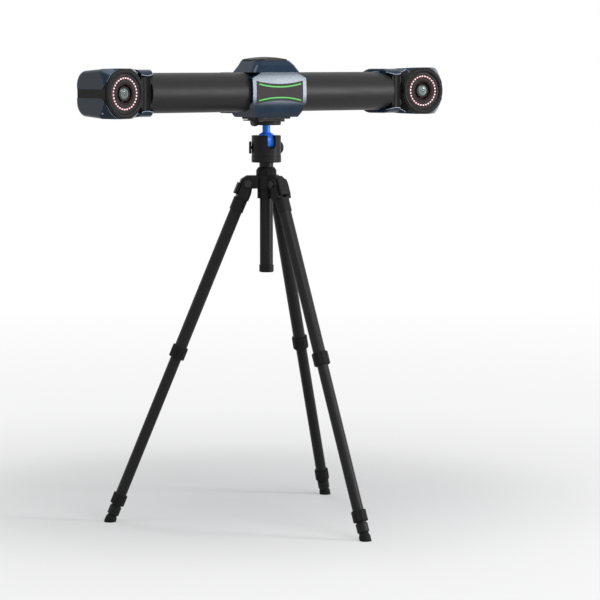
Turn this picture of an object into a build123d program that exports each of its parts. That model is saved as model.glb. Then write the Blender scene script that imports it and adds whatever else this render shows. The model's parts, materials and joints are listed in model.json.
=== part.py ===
from build123d import *
import os
from math import atan, cos, radians, sin, sqrt, tan

os.makedirs("parts", exist_ok=True)

# Twin-camera optical tracking bar on a ball head and three-legged stand
# Origin on the stand's axis at the floor, +Z up, the bar lies along X, its cameras look to -Y
# All sizes are millimetres

# Clearances shared by the moving pieces
gap = 0.3
running_fit = 0.05

# Legs: the axis of each leg runs from its pivot to the floor
leg_azimuths = {"front": -90.0, "right_rear": 30.0, "left_rear": 150.0}
leg_length = 974.0
leg_angle = 22.36
pivot_radius = 52.0
pivot_bolt_radius = 5.0
pivot_head_radius = 9.5
pivot_head_height = 4.0

# Leg castings, measured along the leg from the pivot
lug_half_width = 13.0
lug_nose_radius = 13.0
cheek_thickness = 8.7
cheek_nose_radius = 14.0
fork_depth = 24.0
casting_end = 42.5
casting_inner_side = 19.5
casting_outer_side = 14.0
casting_corner = 9.0
socket_radius = 18.8
socket_length = 35.3
tube_seat = 43.3

# Angle latch that rests on the crown's stop
latch_half_width = 16.0
latch_thickness = 9.7
latch_top = 4.7
latch_length = 31.3
latch_rib_half_width = 6.0
latch_rib_height = 5.7
latch_rib_start = 12.0
latch_rib_length = 22.0
latch_corner = 3.0
stop_height = 6.8
stop_back = 6.0

# Leg tubes and their twist locks
upper_tube_radius = 16.5
middle_tube_radius = 14.7
lower_tube_radius = 13.05
leg_tube_wall = 1.5
upper_lock_start = 466.7
upper_lock_length = 34.6
upper_lock_radius = 21.65
lower_lock_above_end = 81.0
lower_lock_length = 30.5
lower_lock_radius = 19.6
lock_grip_sides = 10
lock_chamfer = 1.6
tube_end_in_lock = 21.0
middle_tube_overlap = 58.0
lower_tube_stored_length = 355.0
ferrule_gap = 4.0
ferrule_radius = 15.9
ferrule_length = 24.5

# Rubber feet
foot_neck_radius = 12.4
foot_radius = 15.2
foot_neck_length = 3.0
foot_flare_length = 7.0
foot_side_length = 10.0
foot_tip_radius = 10.0
foot_tip_bulge = 1.0
foot_tip_bend = 3.0
foot_plug_length = 12.0

# Crown
crown_above_pivot = 22.0
hub_radius = 27.0
crown_sleeve_radius = 24.0
crown_sleeve_length = 26.0
collar_thread_radius = 22.0
collar_thread_height = 15.0

# Centre column and its collar
column_radius = 17.6
column_wall = 1.5
column_length = 280.0
column_flange_radius = 18.7
column_flange_height = 12.4
column_cap_radius = 19.4
column_cap_height = 19.5
column_cap_plug = 15.0
column_cap_chamfer = 2.0
collar_radius = 27.3
collar_height = 21.4
collar_sides = 12
collar_shoulder_height = 8.0
collar_top_radius = 21.5

# Ball head
pan_base_radius = 39.5
pan_base_height = 16.8
pan_ring_inner = 26.0
pan_ring_outer = 32.0
pan_ring_height = 5.0
pan_base_chamfer = 1.5
housing_radius = 39.0
housing_height = 54.7
housing_chamfer = 1.2
ball_radius = 29.0
ball_above_base = 36.0
ball_flat = 22.0
cup_thickness = 3.0
cup_top_angle = 22.0
cup_bottom_angle = 62.0
cavity_top_angle = 5.0
cavity_low_angle = 40.0
stem_radius = 10.4
stem_height = 46.3
stem_stud_radius = 4.0
stem_stud_height = 7.0
slot_width = 22.8
slot_below_ball = 16.0
slot_azimuth = 256.0
ball_knob_azimuth = 143.13
ball_knob_radius = 16.5
ball_knob_thickness = 6.5
ball_knob_below_ball = 13.5
pan_knob_azimuth = 8.1
pan_knob_radius = 17.0
pan_knob_thickness = 10.0
pan_knob_below_ball = 14.6
knob_gap = 0.5
knob_shaft_radius = 4.0
knob_shaft_length = 8.0
knob_chamfer = 1.2

# Quick-release clamp
platform_radius = 39.0
platform_height = 10.7
platform_chamfer = 1.0
clamp_half_length = 42.5
dovetail_half_width = 19.0
dovetail_foot = 1.2
dovetail_slope = 2.0
dovetail_waist = 0.4
jaw_clear_under_pad = 0.2
fixed_jaw_width = 8.0
fixed_jaw_drop = 2.0
jaw_lug_thickness = 6.0
jaw_lug_gap = 1.0
jaw_lug_half_width = 14.0
jaw_lug_drop = 9.5
clamp_screw_radius = 2.8
clamp_screw_below_top = 4.5
clamp_screw_length = 24.0
clamp_knob_radius = 11.0
clamp_knob_length = 12.0
plate_pad_half_width = 25.0
plate_pad_thickness = 2.0
base_plate_half_length = 58.0
base_plate_half_depth = 33.5
base_plate_thickness = 5.0
base_plate_corner = 6.0

# Bar
tube_radius = 52.0
tube_wall = 3.0

# Centre block round the tube, heights are from the tube's axis
block_half_width = 88.0
block_below_axis = 66.0
block_top_above_axis = 52.0
block_edge_depth = 56.0
block_crown_depth = 61.0
block_bottom_half_depth = 45.0
block_lower_edge = 52.0
block_wall = 3.5
face_top_half_width = 57.0
face_corner_height = 37.0
face_lower_side = 28.5
face_cheek_half_width = 79.5
face_cheek_drop = 41.0
face_lower_half_width = 77.0
face_bottom_half_width = 71.0

# Top housing and cap
roof_foot_half_length = 80.0
roof_foot_half_depth = 53.0
roof_shoulder_half_length = 66.0
roof_shoulder_half_depth = 47.0
roof_shoulder_height = 19.0
roof_top_half_length = 57.0
roof_top_half_depth = 42.0
roof_height = 31.0
roof_top_shift = 5.0
roof_corner = 18.0
roof_wall = 3.0
cap_half_length = 58.0
cap_half_depth = 43.0
cap_corner = 30.0
cap_shift = 7.0
cap_height = 9.7
cap_rim_height = 3.5
board_half_length = 42.0
board_half_depth = 26.0
board_thickness = 1.6
board_above_foot = 9.0
board_post_radius = 4.0
board_post_inset = 6.0

# Label plate and its two curved lights
label_half_length = 76.0
label_corner_height = 30.0
label_middle_height = 22.0
label_thickness = 0.8
light_half_length = 69.0
light_end_height = 23.5
light_middle_height = 15.5
light_width = 3.2
light_thickness = 1.3

# Connector box on the back of the block
box_half_length = 92.0
box_back = 85.0
box_below_axis = 56.0
box_above_axis = 52.0
box_wall = 3.0
box_corner = 6.0
power_socket_radius = 9.0
data_socket_radius = 7.5
socket_depth = 11.0
socket_collar = 3.0
socket_collar_height = 4.0
socket_spacing = 56.0
socket_below_axis = 22.0

# Camera pods, built on the right and mirrored to the left
camera_inset = 66.0
camera_forward = 63.5
toe_in = 8.49
pod_side = 557.0
pod_width = 129.0
pod_rear = 66.0
pod_front_half_height = 64.0
pod_rear_half_height = 56.0
pod_rear_corner = 38.0
pod_side_round = 10.0
pod_front_radius = 64.0
pod_front_bevel = 26.0
pod_bevel_depth = 38.0
pod_wall = 3.0
pod_core_wall = 5.0
band_half_height = 11.3
band_recess = 1.0
band_start = 20.0
rim_depth = 4.0
rim_corner_height = 32.0
rim_bend_depth = 9.0
rim_bend_height = 18.0
bulkhead_depth = 20.0
neck_length = 30.0
sleeve_length = 56.0
sleeve_end_slant = 24.0
sleeve_half_height = 60.5
sleeve_half_depth = 50.0
sleeve_corner = 33.0
sleeve_end_round = 7.0
lip_end_height = 40.0
lip_inner_height = 51.0
lip_waist_height = 46.0
lip_outer_height = 59.0
lip_inner_reach = 42.0
lip_waist_reach = 7.0
lip_outer_reach = 20.0
neck_half_depth = 44.0
neck_half_height = 49.0
neck_corner = 14.0
neck_groove_radius = 18.0
neck_groove_offset = 14.0
neck_groove_stop = 6.0
cable_bore_radius = 36.0
spigot_length = 20.0

# Camera pieces, depths are behind the front plane of the pod
bezel_radius = 61.0
bezel_inner_radius = 50.0
bezel_seat = 4.0
bezel_stand = 1.5
bezel_chamfer = 1.5
led_count = 30
led_ring_radius = 39.6
led_radius = 1.9
led_height = 1.2
led_plate_front = 1.0
barrel_radius = 26.5
barrel_front = 2.0
barrel_step = 30.0
barrel_rear_radius = 20.0
barrel_length = 58.0
barrel_mouth_radius = 24.0
lens_cell_radius = 19.0
lens_cell_front = 4.0
lens_well_depth = 13.0
lens_radius = 15.5
lens_depth = 5.5
lens_thickness = 6.0
lens_bulge = 2.5
lens_bore_radius = 12.5
sensor_board_width = 52.0
sensor_board_height = 44.0

# Heights worked out from the floor up
leg_sin = sin(radians(leg_angle))
leg_cos = cos(radians(leg_angle))
lower_lock_start = leg_length - lower_lock_above_end
pivot_z = leg_length * leg_cos
crown_bottom = pivot_z - lug_nose_radius
crown_top = pivot_z + crown_above_pivot
collar_bottom = crown_top + gap
collar_top = collar_bottom + collar_height
flange_bottom = collar_top + gap
flange_top = flange_bottom + column_flange_height
pan_top = flange_top + pan_base_height
housing_bottom = pan_top + gap
ball_z = pan_top + ball_above_base
platform_bottom = ball_z + stem_height
platform_top = platform_bottom + platform_height
dovetail_height = dovetail_foot + dovetail_slope + dovetail_waist
pad_bottom = platform_top + dovetail_height
plate_top = pad_bottom + plate_pad_thickness
block_bottom = plate_top + base_plate_thickness
bar_z = block_bottom + block_below_axis
block_top = bar_z + block_top_above_axis
roof_top = block_top + roof_height
cheek_outer = lug_half_width + gap + cheek_thickness

# Places along the bar worked out from its outer ends
camera_offset = pod_side - camera_inset
pod_inner_side = pod_side - pod_width
tube_half_length = pod_inner_side - neck_length
sleeve_end = pod_inner_side - sleeve_length
lip_inner_offset = pod_inner_side - lip_inner_reach
lip_waist_offset = pod_inner_side - lip_waist_reach
lip_outer_offset = pod_inner_side + lip_outer_reach


# Planes of one leg
def leg_direction(azimuth):
    """Unit vectors of a leg: sideways, outward and square to it, and down along it."""
    a = radians(azimuth)
    sideways = Vector(-sin(a), cos(a), 0)
    outward = Vector(cos(a) * leg_cos, sin(a) * leg_cos, leg_sin)
    down = Vector(cos(a) * leg_sin, sin(a) * leg_sin, -leg_cos)
    return sideways, outward, down


def leg_pivot(azimuth):
    """Centre of a leg's pivot bolt."""
    a = radians(azimuth)
    return Vector(pivot_radius * cos(a), pivot_radius * sin(a), pivot_z)


def leg_across(azimuth, along):
    """Plane square to the leg, with X sideways, Y outward and Z down the leg."""
    sideways, outward, down = leg_direction(azimuth)
    return Plane(leg_pivot(azimuth) + down * along, x_dir=sideways, z_dir=down)


def leg_beside(azimuth):
    """Plane through the leg's axis, with X down the leg and Y outward."""
    sideways, outward, down = leg_direction(azimuth)
    return Plane(leg_pivot(azimuth), x_dir=down, z_dir=down.cross(outward))


def arm_beside(azimuth):
    """Upright plane of one crown arm, with X away from the axis and Y up."""
    a = radians(azimuth)
    outward = Vector(cos(a), sin(a), 0)
    return Plane((0, 0, pivot_z), x_dir=outward, z_dir=outward.cross(Vector(0, 0, 1)))


def from_leg(along, outward):
    """Radius and height from the pivot plane of a point given in a leg's own directions."""
    radius = pivot_radius + outward * leg_cos + along * leg_sin
    return radius, outward * leg_sin - along * leg_cos


# Crown: hub, three arms with latch stops, column sleeve and collar thread
stop_along = latch_top - gap
stop_outward = sqrt(lug_nose_radius**2 - stop_along**2)
latch_seat = casting_outer_side + gap
with BuildPart() as crown:
    with BuildSketch(Plane.XY.offset(crown_bottom)):
        Circle(hub_radius)
    extrude(amount=crown_top - crown_bottom)
    for azimuth in leg_azimuths.values():
        with BuildSketch(arm_beside(azimuth)):
            with BuildLine():
                nose_end = from_leg(stop_along, stop_outward)
                nose_middle = (
                    pivot_radius + lug_nose_radius * sin(radians(45)),
                    -lug_nose_radius * cos(radians(45)),
                )
                Line((0, -lug_nose_radius), (pivot_radius, -lug_nose_radius))
                ThreePointArc((pivot_radius, -lug_nose_radius), nose_middle, nose_end)
                Polyline(
                    nose_end,
                    from_leg(stop_along, stop_outward + stop_height),
                    from_leg(-stop_back, stop_outward + stop_height),
                    (pivot_radius, crown_above_pivot),
                    (0, crown_above_pivot),
                    (0, -lug_nose_radius),
                )
            make_face()
        extrude(amount=lug_half_width, both=True)
    with BuildSketch(Plane.XY.offset(crown_bottom - crown_sleeve_length)):
        Circle(crown_sleeve_radius)
    extrude(amount=crown_sleeve_length)
    with BuildSketch(Plane.XY.offset(crown_top)):
        Circle(collar_thread_radius)
    extrude(amount=collar_thread_height)
    with BuildSketch(Plane.XY.offset(crown_bottom - crown_sleeve_length)):
        Circle(column_radius + gap)
    extrude(amount=crown_top + collar_thread_height - crown_bottom + crown_sleeve_length, mode=Mode.SUBTRACT)
    for azimuth in leg_azimuths.values():
        with BuildSketch(leg_beside(azimuth)):
            Circle(pivot_bolt_radius)
        extrude(amount=lug_half_width, both=True, mode=Mode.SUBTRACT)
crown.part.label = "crown"
export_step(crown.part, "parts/crown.step")

# Leg pivot bolts, one through each crown arm
with BuildPart() as leg_pivot_bolts:
    for azimuth in leg_azimuths.values():
        side = leg_beside(azimuth)
        with BuildSketch(side):
            Circle(pivot_bolt_radius)
        extrude(amount=cheek_outer + gap, both=True)
        with BuildSketch(side.offset(cheek_outer + gap), side.offset(-cheek_outer - gap - pivot_head_height)):
            Circle(pivot_head_radius)
        extrude(amount=pivot_head_height)
leg_pivot_bolts.part.label = "leg_pivot_bolts"
export_step(leg_pivot_bolts.part, "parts/leg_pivot_bolts.step")

# The eight pieces of each leg
upper_tube_end = upper_lock_start + tube_end_in_lock
middle_tube_start = upper_lock_start - middle_tube_overlap
middle_tube_end = lower_lock_start + tube_end_in_lock
lower_lock_end = lower_lock_start + lower_lock_length
ferrule_start = lower_lock_end + ferrule_gap
ferrule_end = ferrule_start + ferrule_length
lower_tube_start = ferrule_end - lower_tube_stored_length
for leg_name, azimuth in leg_azimuths.items():
    side = leg_beside(azimuth)

    # Forked casting that holds the upper tube
    with BuildPart() as leg_top:
        with BuildSketch(side):
            Circle(cheek_nose_radius)
            with BuildLine():
                Polyline(
                    (0, -cheek_nose_radius),
                    (fork_depth, -casting_inner_side),
                    (casting_end, -casting_inner_side),
                    (casting_end, casting_outer_side),
                    (0, casting_outer_side),
                    close=True,
                )
            make_face()
        extrude(amount=cheek_outer, both=True)
        with BuildSketch(leg_across(azimuth, -cheek_nose_radius)):
            RectangleRounded(2 * cheek_outer, 2 * casting_inner_side, casting_corner)
        extrude(amount=cheek_nose_radius + casting_end, mode=Mode.INTERSECT)
        with BuildSketch(leg_across(azimuth, -cheek_nose_radius)):
            Rectangle(2 * (lug_half_width + gap), 4 * casting_inner_side)
        extrude(amount=cheek_nose_radius + fork_depth, mode=Mode.SUBTRACT)
        with BuildSketch(leg_across(azimuth, casting_end)):
            Circle(socket_radius)
        extrude(amount=socket_length)
        with BuildSketch(leg_across(azimuth, tube_seat)):
            Circle(upper_tube_radius)
        extrude(amount=casting_end + socket_length - tube_seat, mode=Mode.SUBTRACT)
        with BuildSketch(leg_across(azimuth, fork_depth - gap)):
            with Locations((0, casting_outer_side)):
                Rectangle(2 * (latch_rib_half_width + gap), 2 * (latch_rib_height + gap))
        extrude(amount=casting_end - fork_depth + gap, mode=Mode.SUBTRACT)
        with BuildSketch(side):
            Circle(pivot_bolt_radius + running_fit)
        extrude(amount=cheek_outer, both=True, mode=Mode.SUBTRACT)
    leg_top.part.label = f"{leg_name}_leg_top"
    export_step(leg_top.part, f"parts/{leg_name}_leg_top.step")

    # Angle latch with the rib that guides it in the casting
    with BuildPart() as angle_latch:
        with BuildSketch(leg_across(azimuth, latch_top)):
            with Locations((0, latch_seat + latch_thickness / 2)):
                RectangleRounded(2 * latch_half_width, latch_thickness, latch_corner)
        extrude(amount=latch_length)
        with BuildSketch(leg_across(azimuth, latch_rib_start)):
            with Locations((0, latch_seat - latch_rib_height / 2)):
                Rectangle(2 * latch_rib_half_width, latch_rib_height)
        extrude(amount=latch_rib_length)
    angle_latch.part.label = f"{leg_name}_angle_latch"
    export_step(angle_latch.part, f"parts/{leg_name}_angle_latch.step")

    # Upper tube
    with BuildPart() as upper_tube:
        with BuildSketch(leg_across(azimuth, tube_seat)):
            Circle(upper_tube_radius)
            Circle(upper_tube_radius - leg_tube_wall, mode=Mode.SUBTRACT)
        extrude(amount=upper_tube_end - tube_seat)
    upper_tube.part.label = f"{leg_name}_upper_tube"
    export_step(upper_tube.part, f"parts/{leg_name}_upper_tube.step")

    # Twist lock between the upper and the middle tube
    with BuildPart() as upper_lock:
        with BuildSketch(leg_across(azimuth, upper_lock_start)):
            RegularPolygon(upper_lock_radius, lock_grip_sides)
        extrude(amount=upper_lock_length)
        chamfer(upper_lock.faces().sort_by(Axis.Z)[-1].edges(), lock_chamfer)
        chamfer(upper_lock.faces().sort_by(Axis.Z)[0].edges(), lock_chamfer)
        with BuildSketch(leg_across(azimuth, upper_lock_start)):
            Circle(upper_tube_radius + gap)
        extrude(amount=tube_end_in_lock + gap, mode=Mode.SUBTRACT)
        with BuildSketch(leg_across(azimuth, upper_lock_start)):
            Circle(middle_tube_radius + gap)
        extrude(amount=upper_lock_length, mode=Mode.SUBTRACT)
    upper_lock.part.label = f"{leg_name}_upper_lock"
    export_step(upper_lock.part, f"parts/{leg_name}_upper_lock.step")

    # Middle tube
    with BuildPart() as middle_tube:
        with BuildSketch(leg_across(azimuth, middle_tube_start)):
            Circle(middle_tube_radius)
            Circle(lower_tube_radius + gap, mode=Mode.SUBTRACT)
        extrude(amount=middle_tube_end - middle_tube_start)
    middle_tube.part.label = f"{leg_name}_middle_tube"
    export_step(middle_tube.part, f"parts/{leg_name}_middle_tube.step")

    # Twist lock between the middle and the lower tube
    with BuildPart() as lower_lock:
        with BuildSketch(leg_across(azimuth, lower_lock_start)):
            RegularPolygon(lower_lock_radius, lock_grip_sides)
        extrude(amount=lower_lock_length)
        chamfer(lower_lock.faces().sort_by(Axis.Z)[-1].edges(), lock_chamfer)
        chamfer(lower_lock.faces().sort_by(Axis.Z)[0].edges(), lock_chamfer)
        with BuildSketch(leg_across(azimuth, lower_lock_start)):
            Circle(middle_tube_radius + gap)
        extrude(amount=tube_end_in_lock + gap, mode=Mode.SUBTRACT)
        with BuildSketch(leg_across(azimuth, lower_lock_start)):
            Circle(lower_tube_radius + gap)
        extrude(amount=lower_lock_length, mode=Mode.SUBTRACT)
    lower_lock.part.label = f"{leg_name}_lower_lock"
    export_step(lower_lock.part, f"parts/{leg_name}_lower_lock.step")

    # Lower tube with the ferrule that carries the foot
    with BuildPart() as lower_tube:
        with BuildSketch(leg_across(azimuth, lower_tube_start)):
            Circle(lower_tube_radius)
        extrude(amount=ferrule_end - lower_tube_start)
        with BuildSketch(leg_across(azimuth, ferrule_start)):
            Circle(ferrule_radius)
        extrude(amount=ferrule_length)
        chamfer(lower_tube.edges().filter_by(GeomType.CIRCLE).sort_by(SortBy.RADIUS)[-2:], lock_chamfer)
        with BuildSketch(leg_across(azimuth, lower_tube_start)):
            Circle(lower_tube_radius - leg_tube_wall)
        extrude(amount=ferrule_end - lower_tube_start, mode=Mode.SUBTRACT)
    lower_tube.part.label = f"{leg_name}_lower_tube"
    export_step(lower_tube.part, f"parts/{leg_name}_lower_tube.step")

    # Rubber foot, worn flat where it stands on the floor
    foot_flare_end = ferrule_end + foot_neck_length + foot_flare_length
    foot_tip = foot_flare_end + 2 * foot_side_length
    with BuildPart() as foot:
        with BuildSketch(side):
            with BuildLine():
                Polyline(
                    (ferrule_end - foot_plug_length, 0),
                    (ferrule_end - foot_plug_length, lower_tube_radius - leg_tube_wall),
                    (ferrule_end, lower_tube_radius - leg_tube_wall),
                    (ferrule_end, foot_neck_radius),
                    (ferrule_end + foot_neck_length, foot_neck_radius),
                    (foot_flare_end, foot_radius),
                    (foot_flare_end + foot_side_length, foot_radius),
                )
                ThreePointArc(
                    (foot_flare_end + foot_side_length, foot_radius),
                    (foot_tip - foot_tip_bend, (foot_radius + foot_tip_radius) / 2 + foot_tip_bulge),
                    (foot_tip, foot_tip_radius),
                )
                Polyline((foot_tip, foot_tip_radius), (foot_tip, 0), (ferrule_end - foot_plug_length, 0))
            make_face()
        revolve(axis=Axis(side.origin, side.x_dir))
        with BuildSketch(Plane.XY):
            Circle(leg_length)
        extrude(amount=-leg_length, mode=Mode.SUBTRACT)
    foot.part.label = f"{leg_name}_foot"
    export_step(foot.part, f"parts/{leg_name}_foot.step")

# Collar that locks the centre column
with BuildPart() as column_collar:
    with BuildSketch(Plane.XY.offset(collar_bottom)):
        RegularPolygon(collar_radius, collar_sides)
    extrude(amount=collar_height - collar_shoulder_height)
    with BuildSketch(Plane.XY.offset(collar_top - collar_shoulder_height)):
        RegularPolygon(collar_radius, collar_sides)
    with BuildSketch(Plane.XY.offset(collar_top)):
        RegularPolygon(collar_top_radius, collar_sides)
    loft(ruled=True)
    with BuildSketch(Plane.XY.offset(collar_bottom)):
        Circle(collar_thread_radius + gap)
    extrude(amount=collar_thread_height, mode=Mode.SUBTRACT)
    with BuildSketch(Plane.XY.offset(collar_bottom)):
        Circle(column_radius + gap)
    extrude(amount=collar_height, mode=Mode.SUBTRACT)
column_collar.part.label = "column_collar"
export_step(column_collar.part, "parts/column_collar.step")

# Centre column with the flange that carries the head
column_bottom = flange_bottom - column_length + column_cap_height
with BuildPart() as centre_column:
    with BuildSketch(Plane.XY.offset(column_bottom)):
        Circle(column_radius)
        Circle(column_radius - column_wall, mode=Mode.SUBTRACT)
    extrude(amount=flange_bottom - column_bottom)
    with BuildSketch(Plane.XY.offset(flange_bottom)):
        Circle(column_flange_radius)
    extrude(amount=column_flange_height)
centre_column.part.label = "centre_column"
export_step(centre_column.part, "parts/centre_column.step")

# Cap plugged into the column's lower end
with BuildPart() as column_cap:
    with BuildSketch(Plane.XY.offset(column_bottom - column_cap_height)):
        Circle(column_cap_radius)
    extrude(amount=column_cap_height)
    chamfer(column_cap.edges().filter_by(GeomType.CIRCLE).group_by(Axis.Z)[0], column_cap_chamfer)
    with BuildSketch(Plane.XY.offset(column_bottom)):
        Circle(column_radius - column_wall)
    extrude(amount=column_cap_plug)
column_cap.part.label = "column_cap"
export_step(column_cap.part, "parts/column_cap.step")

# Pan base with its bearing ring
with BuildPart() as pan_base:
    with BuildSketch(Plane.XY.offset(flange_top)):
        Circle(pan_base_radius)
    extrude(amount=pan_base_height)
    chamfer(pan_base.edges().filter_by(GeomType.CIRCLE).group_by(Axis.Z)[0], pan_base_chamfer)
    with BuildSketch(Plane.XY.offset(pan_top)):
        Circle(pan_ring_outer)
        Circle(pan_ring_inner, mode=Mode.SUBTRACT)
    extrude(amount=pan_ring_height)
pan_base.part.label = "pan_base"
export_step(pan_base.part, "parts/pan_base.step")


# Radial planes and level directions of the head
def radial_plane(azimuth, radius, height):
    """Plane facing outward at an azimuth, with Y up."""
    a = radians(azimuth)
    outward = Vector(cos(a), sin(a), 0)
    sideways = Vector(-sin(a), cos(a), 0)
    return Plane(outward * radius + Vector(0, 0, height), x_dir=sideways, z_dir=outward)


def on_ball(radius, angle):
    """Point at an angle above the ball's middle, as distance from the axis and height."""
    return radius * cos(radians(angle)), ball_z + radius * sin(radians(angle))


cup_inner = ball_radius + gap
cup_outer = cup_inner + cup_thickness
cavity_radius = cup_outer + gap
ball_knob_z = ball_z - ball_knob_below_ball
pan_knob_z = ball_z - pan_knob_below_ball
knob_shaft_start = housing_radius - knob_shaft_length

# Head housing: round cavity, drop slot, groove for the pan ring and holes for two knobs
with BuildPart() as head_housing:
    with BuildSketch(Plane.XY.offset(housing_bottom)):
        Circle(housing_radius)
    extrude(amount=housing_height)
    chamfer(head_housing.edges().filter_by(GeomType.CIRCLE).group_by(Axis.Z)[-1], housing_chamfer)
    with BuildSketch(Plane.XZ):
        with BuildLine():
            top = (0, ball_z + cup_inner)
            rim_inner = on_ball(cup_inner, cavity_top_angle)
            rim_outer = on_ball(cavity_radius, cavity_top_angle)
            floor = (0, ball_z - cavity_radius)
            Line(floor, top)
            ThreePointArc(top, on_ball(cup_inner, 45), rim_inner)
            Line(rim_inner, rim_outer)
            ThreePointArc(rim_outer, on_ball(cavity_radius, -cavity_low_angle), floor)
        make_face()
    revolve(axis=Axis.Z, mode=Mode.SUBTRACT)
    with BuildSketch(radial_plane(slot_azimuth, 0, ball_z)):
        with Locations((0, slot_width / 2 - slot_below_ball)):
            Circle(slot_width / 2)
        with Locations((0, slot_width / 2 - slot_below_ball + housing_height / 2)):
            Rectangle(slot_width, housing_height)
    extrude(amount=housing_radius + gap, mode=Mode.SUBTRACT)
    with BuildSketch(Plane.XY.offset(housing_bottom)):
        Circle(pan_ring_outer + gap)
        Circle(pan_ring_inner - gap, mode=Mode.SUBTRACT)
    extrude(amount=pan_ring_height, mode=Mode.SUBTRACT)
    with BuildSketch(radial_plane(ball_knob_azimuth, 0, ball_knob_z)):
        Circle(knob_shaft_radius + gap)
    extrude(amount=housing_radius, mode=Mode.SUBTRACT)
    with BuildSketch(radial_plane(pan_knob_azimuth, 0, pan_knob_z)):
        Circle(knob_shaft_radius + gap)
    extrude(amount=housing_radius, mode=Mode.SUBTRACT)
head_housing.part.label = "head_housing"
export_step(head_housing.part, "parts/head_housing.step")

# Cup that the ball is clamped in
with BuildPart() as ball_cup:
    with BuildSketch(Plane.XZ):
        with BuildLine():
            cup_angles = (cup_top_angle, (cup_top_angle + cup_bottom_angle) / 2, cup_bottom_angle)
            inner = [on_ball(cup_inner, -angle) for angle in cup_angles]
            outer = [on_ball(cup_outer, -angle) for angle in cup_angles]
            ThreePointArc(*inner)
            Line(inner[-1], outer[-1])
            ThreePointArc(*outer)
            Line(inner[0], outer[0])
        make_face()
    revolve(axis=Axis.Z)
ball_cup.part.label = "ball_cup"
export_step(ball_cup.part, "parts/ball_cup.step")

# Ball and stem, with the stud that holds the clamp
with BuildPart() as ball_stem:
    with Locations((0, 0, ball_z)):
        Sphere(ball_radius)
    with BuildSketch(Plane.XY.offset(ball_z - ball_flat)):
        Circle(ball_radius)
    extrude(amount=-ball_radius, mode=Mode.SUBTRACT)
    with BuildSketch(Plane.XY.offset(ball_z)):
        Circle(stem_radius)
    extrude(amount=stem_height)
    with BuildSketch(Plane.XY.offset(platform_bottom)):
        Circle(stem_stud_radius)
    extrude(amount=stem_stud_height)
ball_stem.part.label = "ball_stem"
export_step(ball_stem.part, "parts/ball_stem.step")

# Knob that clamps the ball
with BuildPart() as ball_lock_knob:
    with BuildSketch(radial_plane(ball_knob_azimuth, housing_radius + knob_gap, ball_knob_z)):
        Circle(ball_knob_radius)
    extrude(amount=ball_knob_thickness)
    chamfer(ball_lock_knob.edges().filter_by(GeomType.CIRCLE), knob_chamfer)
    with BuildSketch(radial_plane(ball_knob_azimuth, knob_shaft_start, ball_knob_z)):
        Circle(knob_shaft_radius)
    extrude(amount=knob_shaft_length + knob_gap)
ball_lock_knob.part.label = "ball_lock_knob"
export_step(ball_lock_knob.part, "parts/ball_lock_knob.step")

# Knob that clamps the pan movement
with BuildPart() as pan_lock_knob:
    with BuildSketch(radial_plane(pan_knob_azimuth, housing_radius + knob_gap, pan_knob_z)):
        Circle(pan_knob_radius)
    extrude(amount=pan_knob_thickness)
    chamfer(pan_lock_knob.edges().filter_by(GeomType.CIRCLE), knob_chamfer)
    with BuildSketch(radial_plane(pan_knob_azimuth, knob_shaft_start, pan_knob_z)):
        Circle(knob_shaft_radius)
    extrude(amount=knob_shaft_length + knob_gap)
pan_lock_knob.part.label = "pan_lock_knob"
export_step(pan_lock_knob.part, "parts/pan_lock_knob.step")

# Clamp: round platform with the fixed jaw along its front
jaw_top = pad_bottom - jaw_clear_under_pad
jaw_tip = dovetail_half_width - dovetail_slope
screw_z = platform_top - clamp_screw_below_top
lug_start = platform_radius + jaw_lug_gap
lug_end = lug_start + jaw_lug_thickness
with BuildPart() as clamp_body:
    with BuildSketch(Plane.XY.offset(platform_bottom)):
        Circle(platform_radius)
    extrude(amount=platform_height)
    chamfer(clamp_body.edges().filter_by(GeomType.CIRCLE), platform_chamfer)
    with BuildSketch(Plane.YZ):
        with BuildLine():
            Polyline(
                (-dovetail_half_width, platform_top - fixed_jaw_drop),
                (-dovetail_half_width, platform_top + dovetail_foot),
                (-jaw_tip, platform_top + dovetail_foot + dovetail_slope),
                (-jaw_tip, jaw_top),
                (-jaw_tip - fixed_jaw_width, jaw_top),
                (-jaw_tip - fixed_jaw_width, platform_top - fixed_jaw_drop),
                close=True,
            )
        make_face()
    extrude(amount=clamp_half_length, both=True)
    with BuildSketch(Plane.XZ.offset(-platform_radius)):
        with Locations((0, screw_z)):
            Circle(clamp_screw_radius + gap)
    extrude(amount=clamp_screw_length, mode=Mode.SUBTRACT)
    with BuildSketch(Plane.XY.offset(platform_bottom)):
        Circle(stem_stud_radius)
    extrude(amount=stem_stud_height, mode=Mode.SUBTRACT)
clamp_body.part.label = "clamp_body"
export_step(clamp_body.part, "parts/clamp_body.step")

# Moving jaw with the lug that its screw pulls on
with BuildPart() as clamp_jaw:
    with BuildSketch(Plane.YZ):
        with BuildLine():
            Polyline(
                (dovetail_half_width, platform_top + gap),
                (dovetail_half_width, platform_top + dovetail_foot),
                (jaw_tip, platform_top + dovetail_foot + dovetail_slope),
                (jaw_tip, jaw_top),
                (lug_end, jaw_top),
                (lug_end, platform_top + gap),
                close=True,
            )
        make_face()
    extrude(amount=clamp_half_length, both=True)
    with BuildSketch(Plane.XZ.offset(-lug_end)):
        with Locations((0, platform_top - jaw_lug_drop / 2 + gap)):
            Rectangle(2 * jaw_lug_half_width, jaw_lug_drop)
    extrude(amount=jaw_lug_thickness)
    with BuildSketch(Plane.XZ.offset(-lug_end)):
        with Locations((0, screw_z)):
            Circle(clamp_screw_radius + gap)
    extrude(amount=jaw_lug_thickness, mode=Mode.SUBTRACT)
clamp_jaw.part.label = "clamp_jaw"
export_step(clamp_jaw.part, "parts/clamp_jaw.step")

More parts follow.
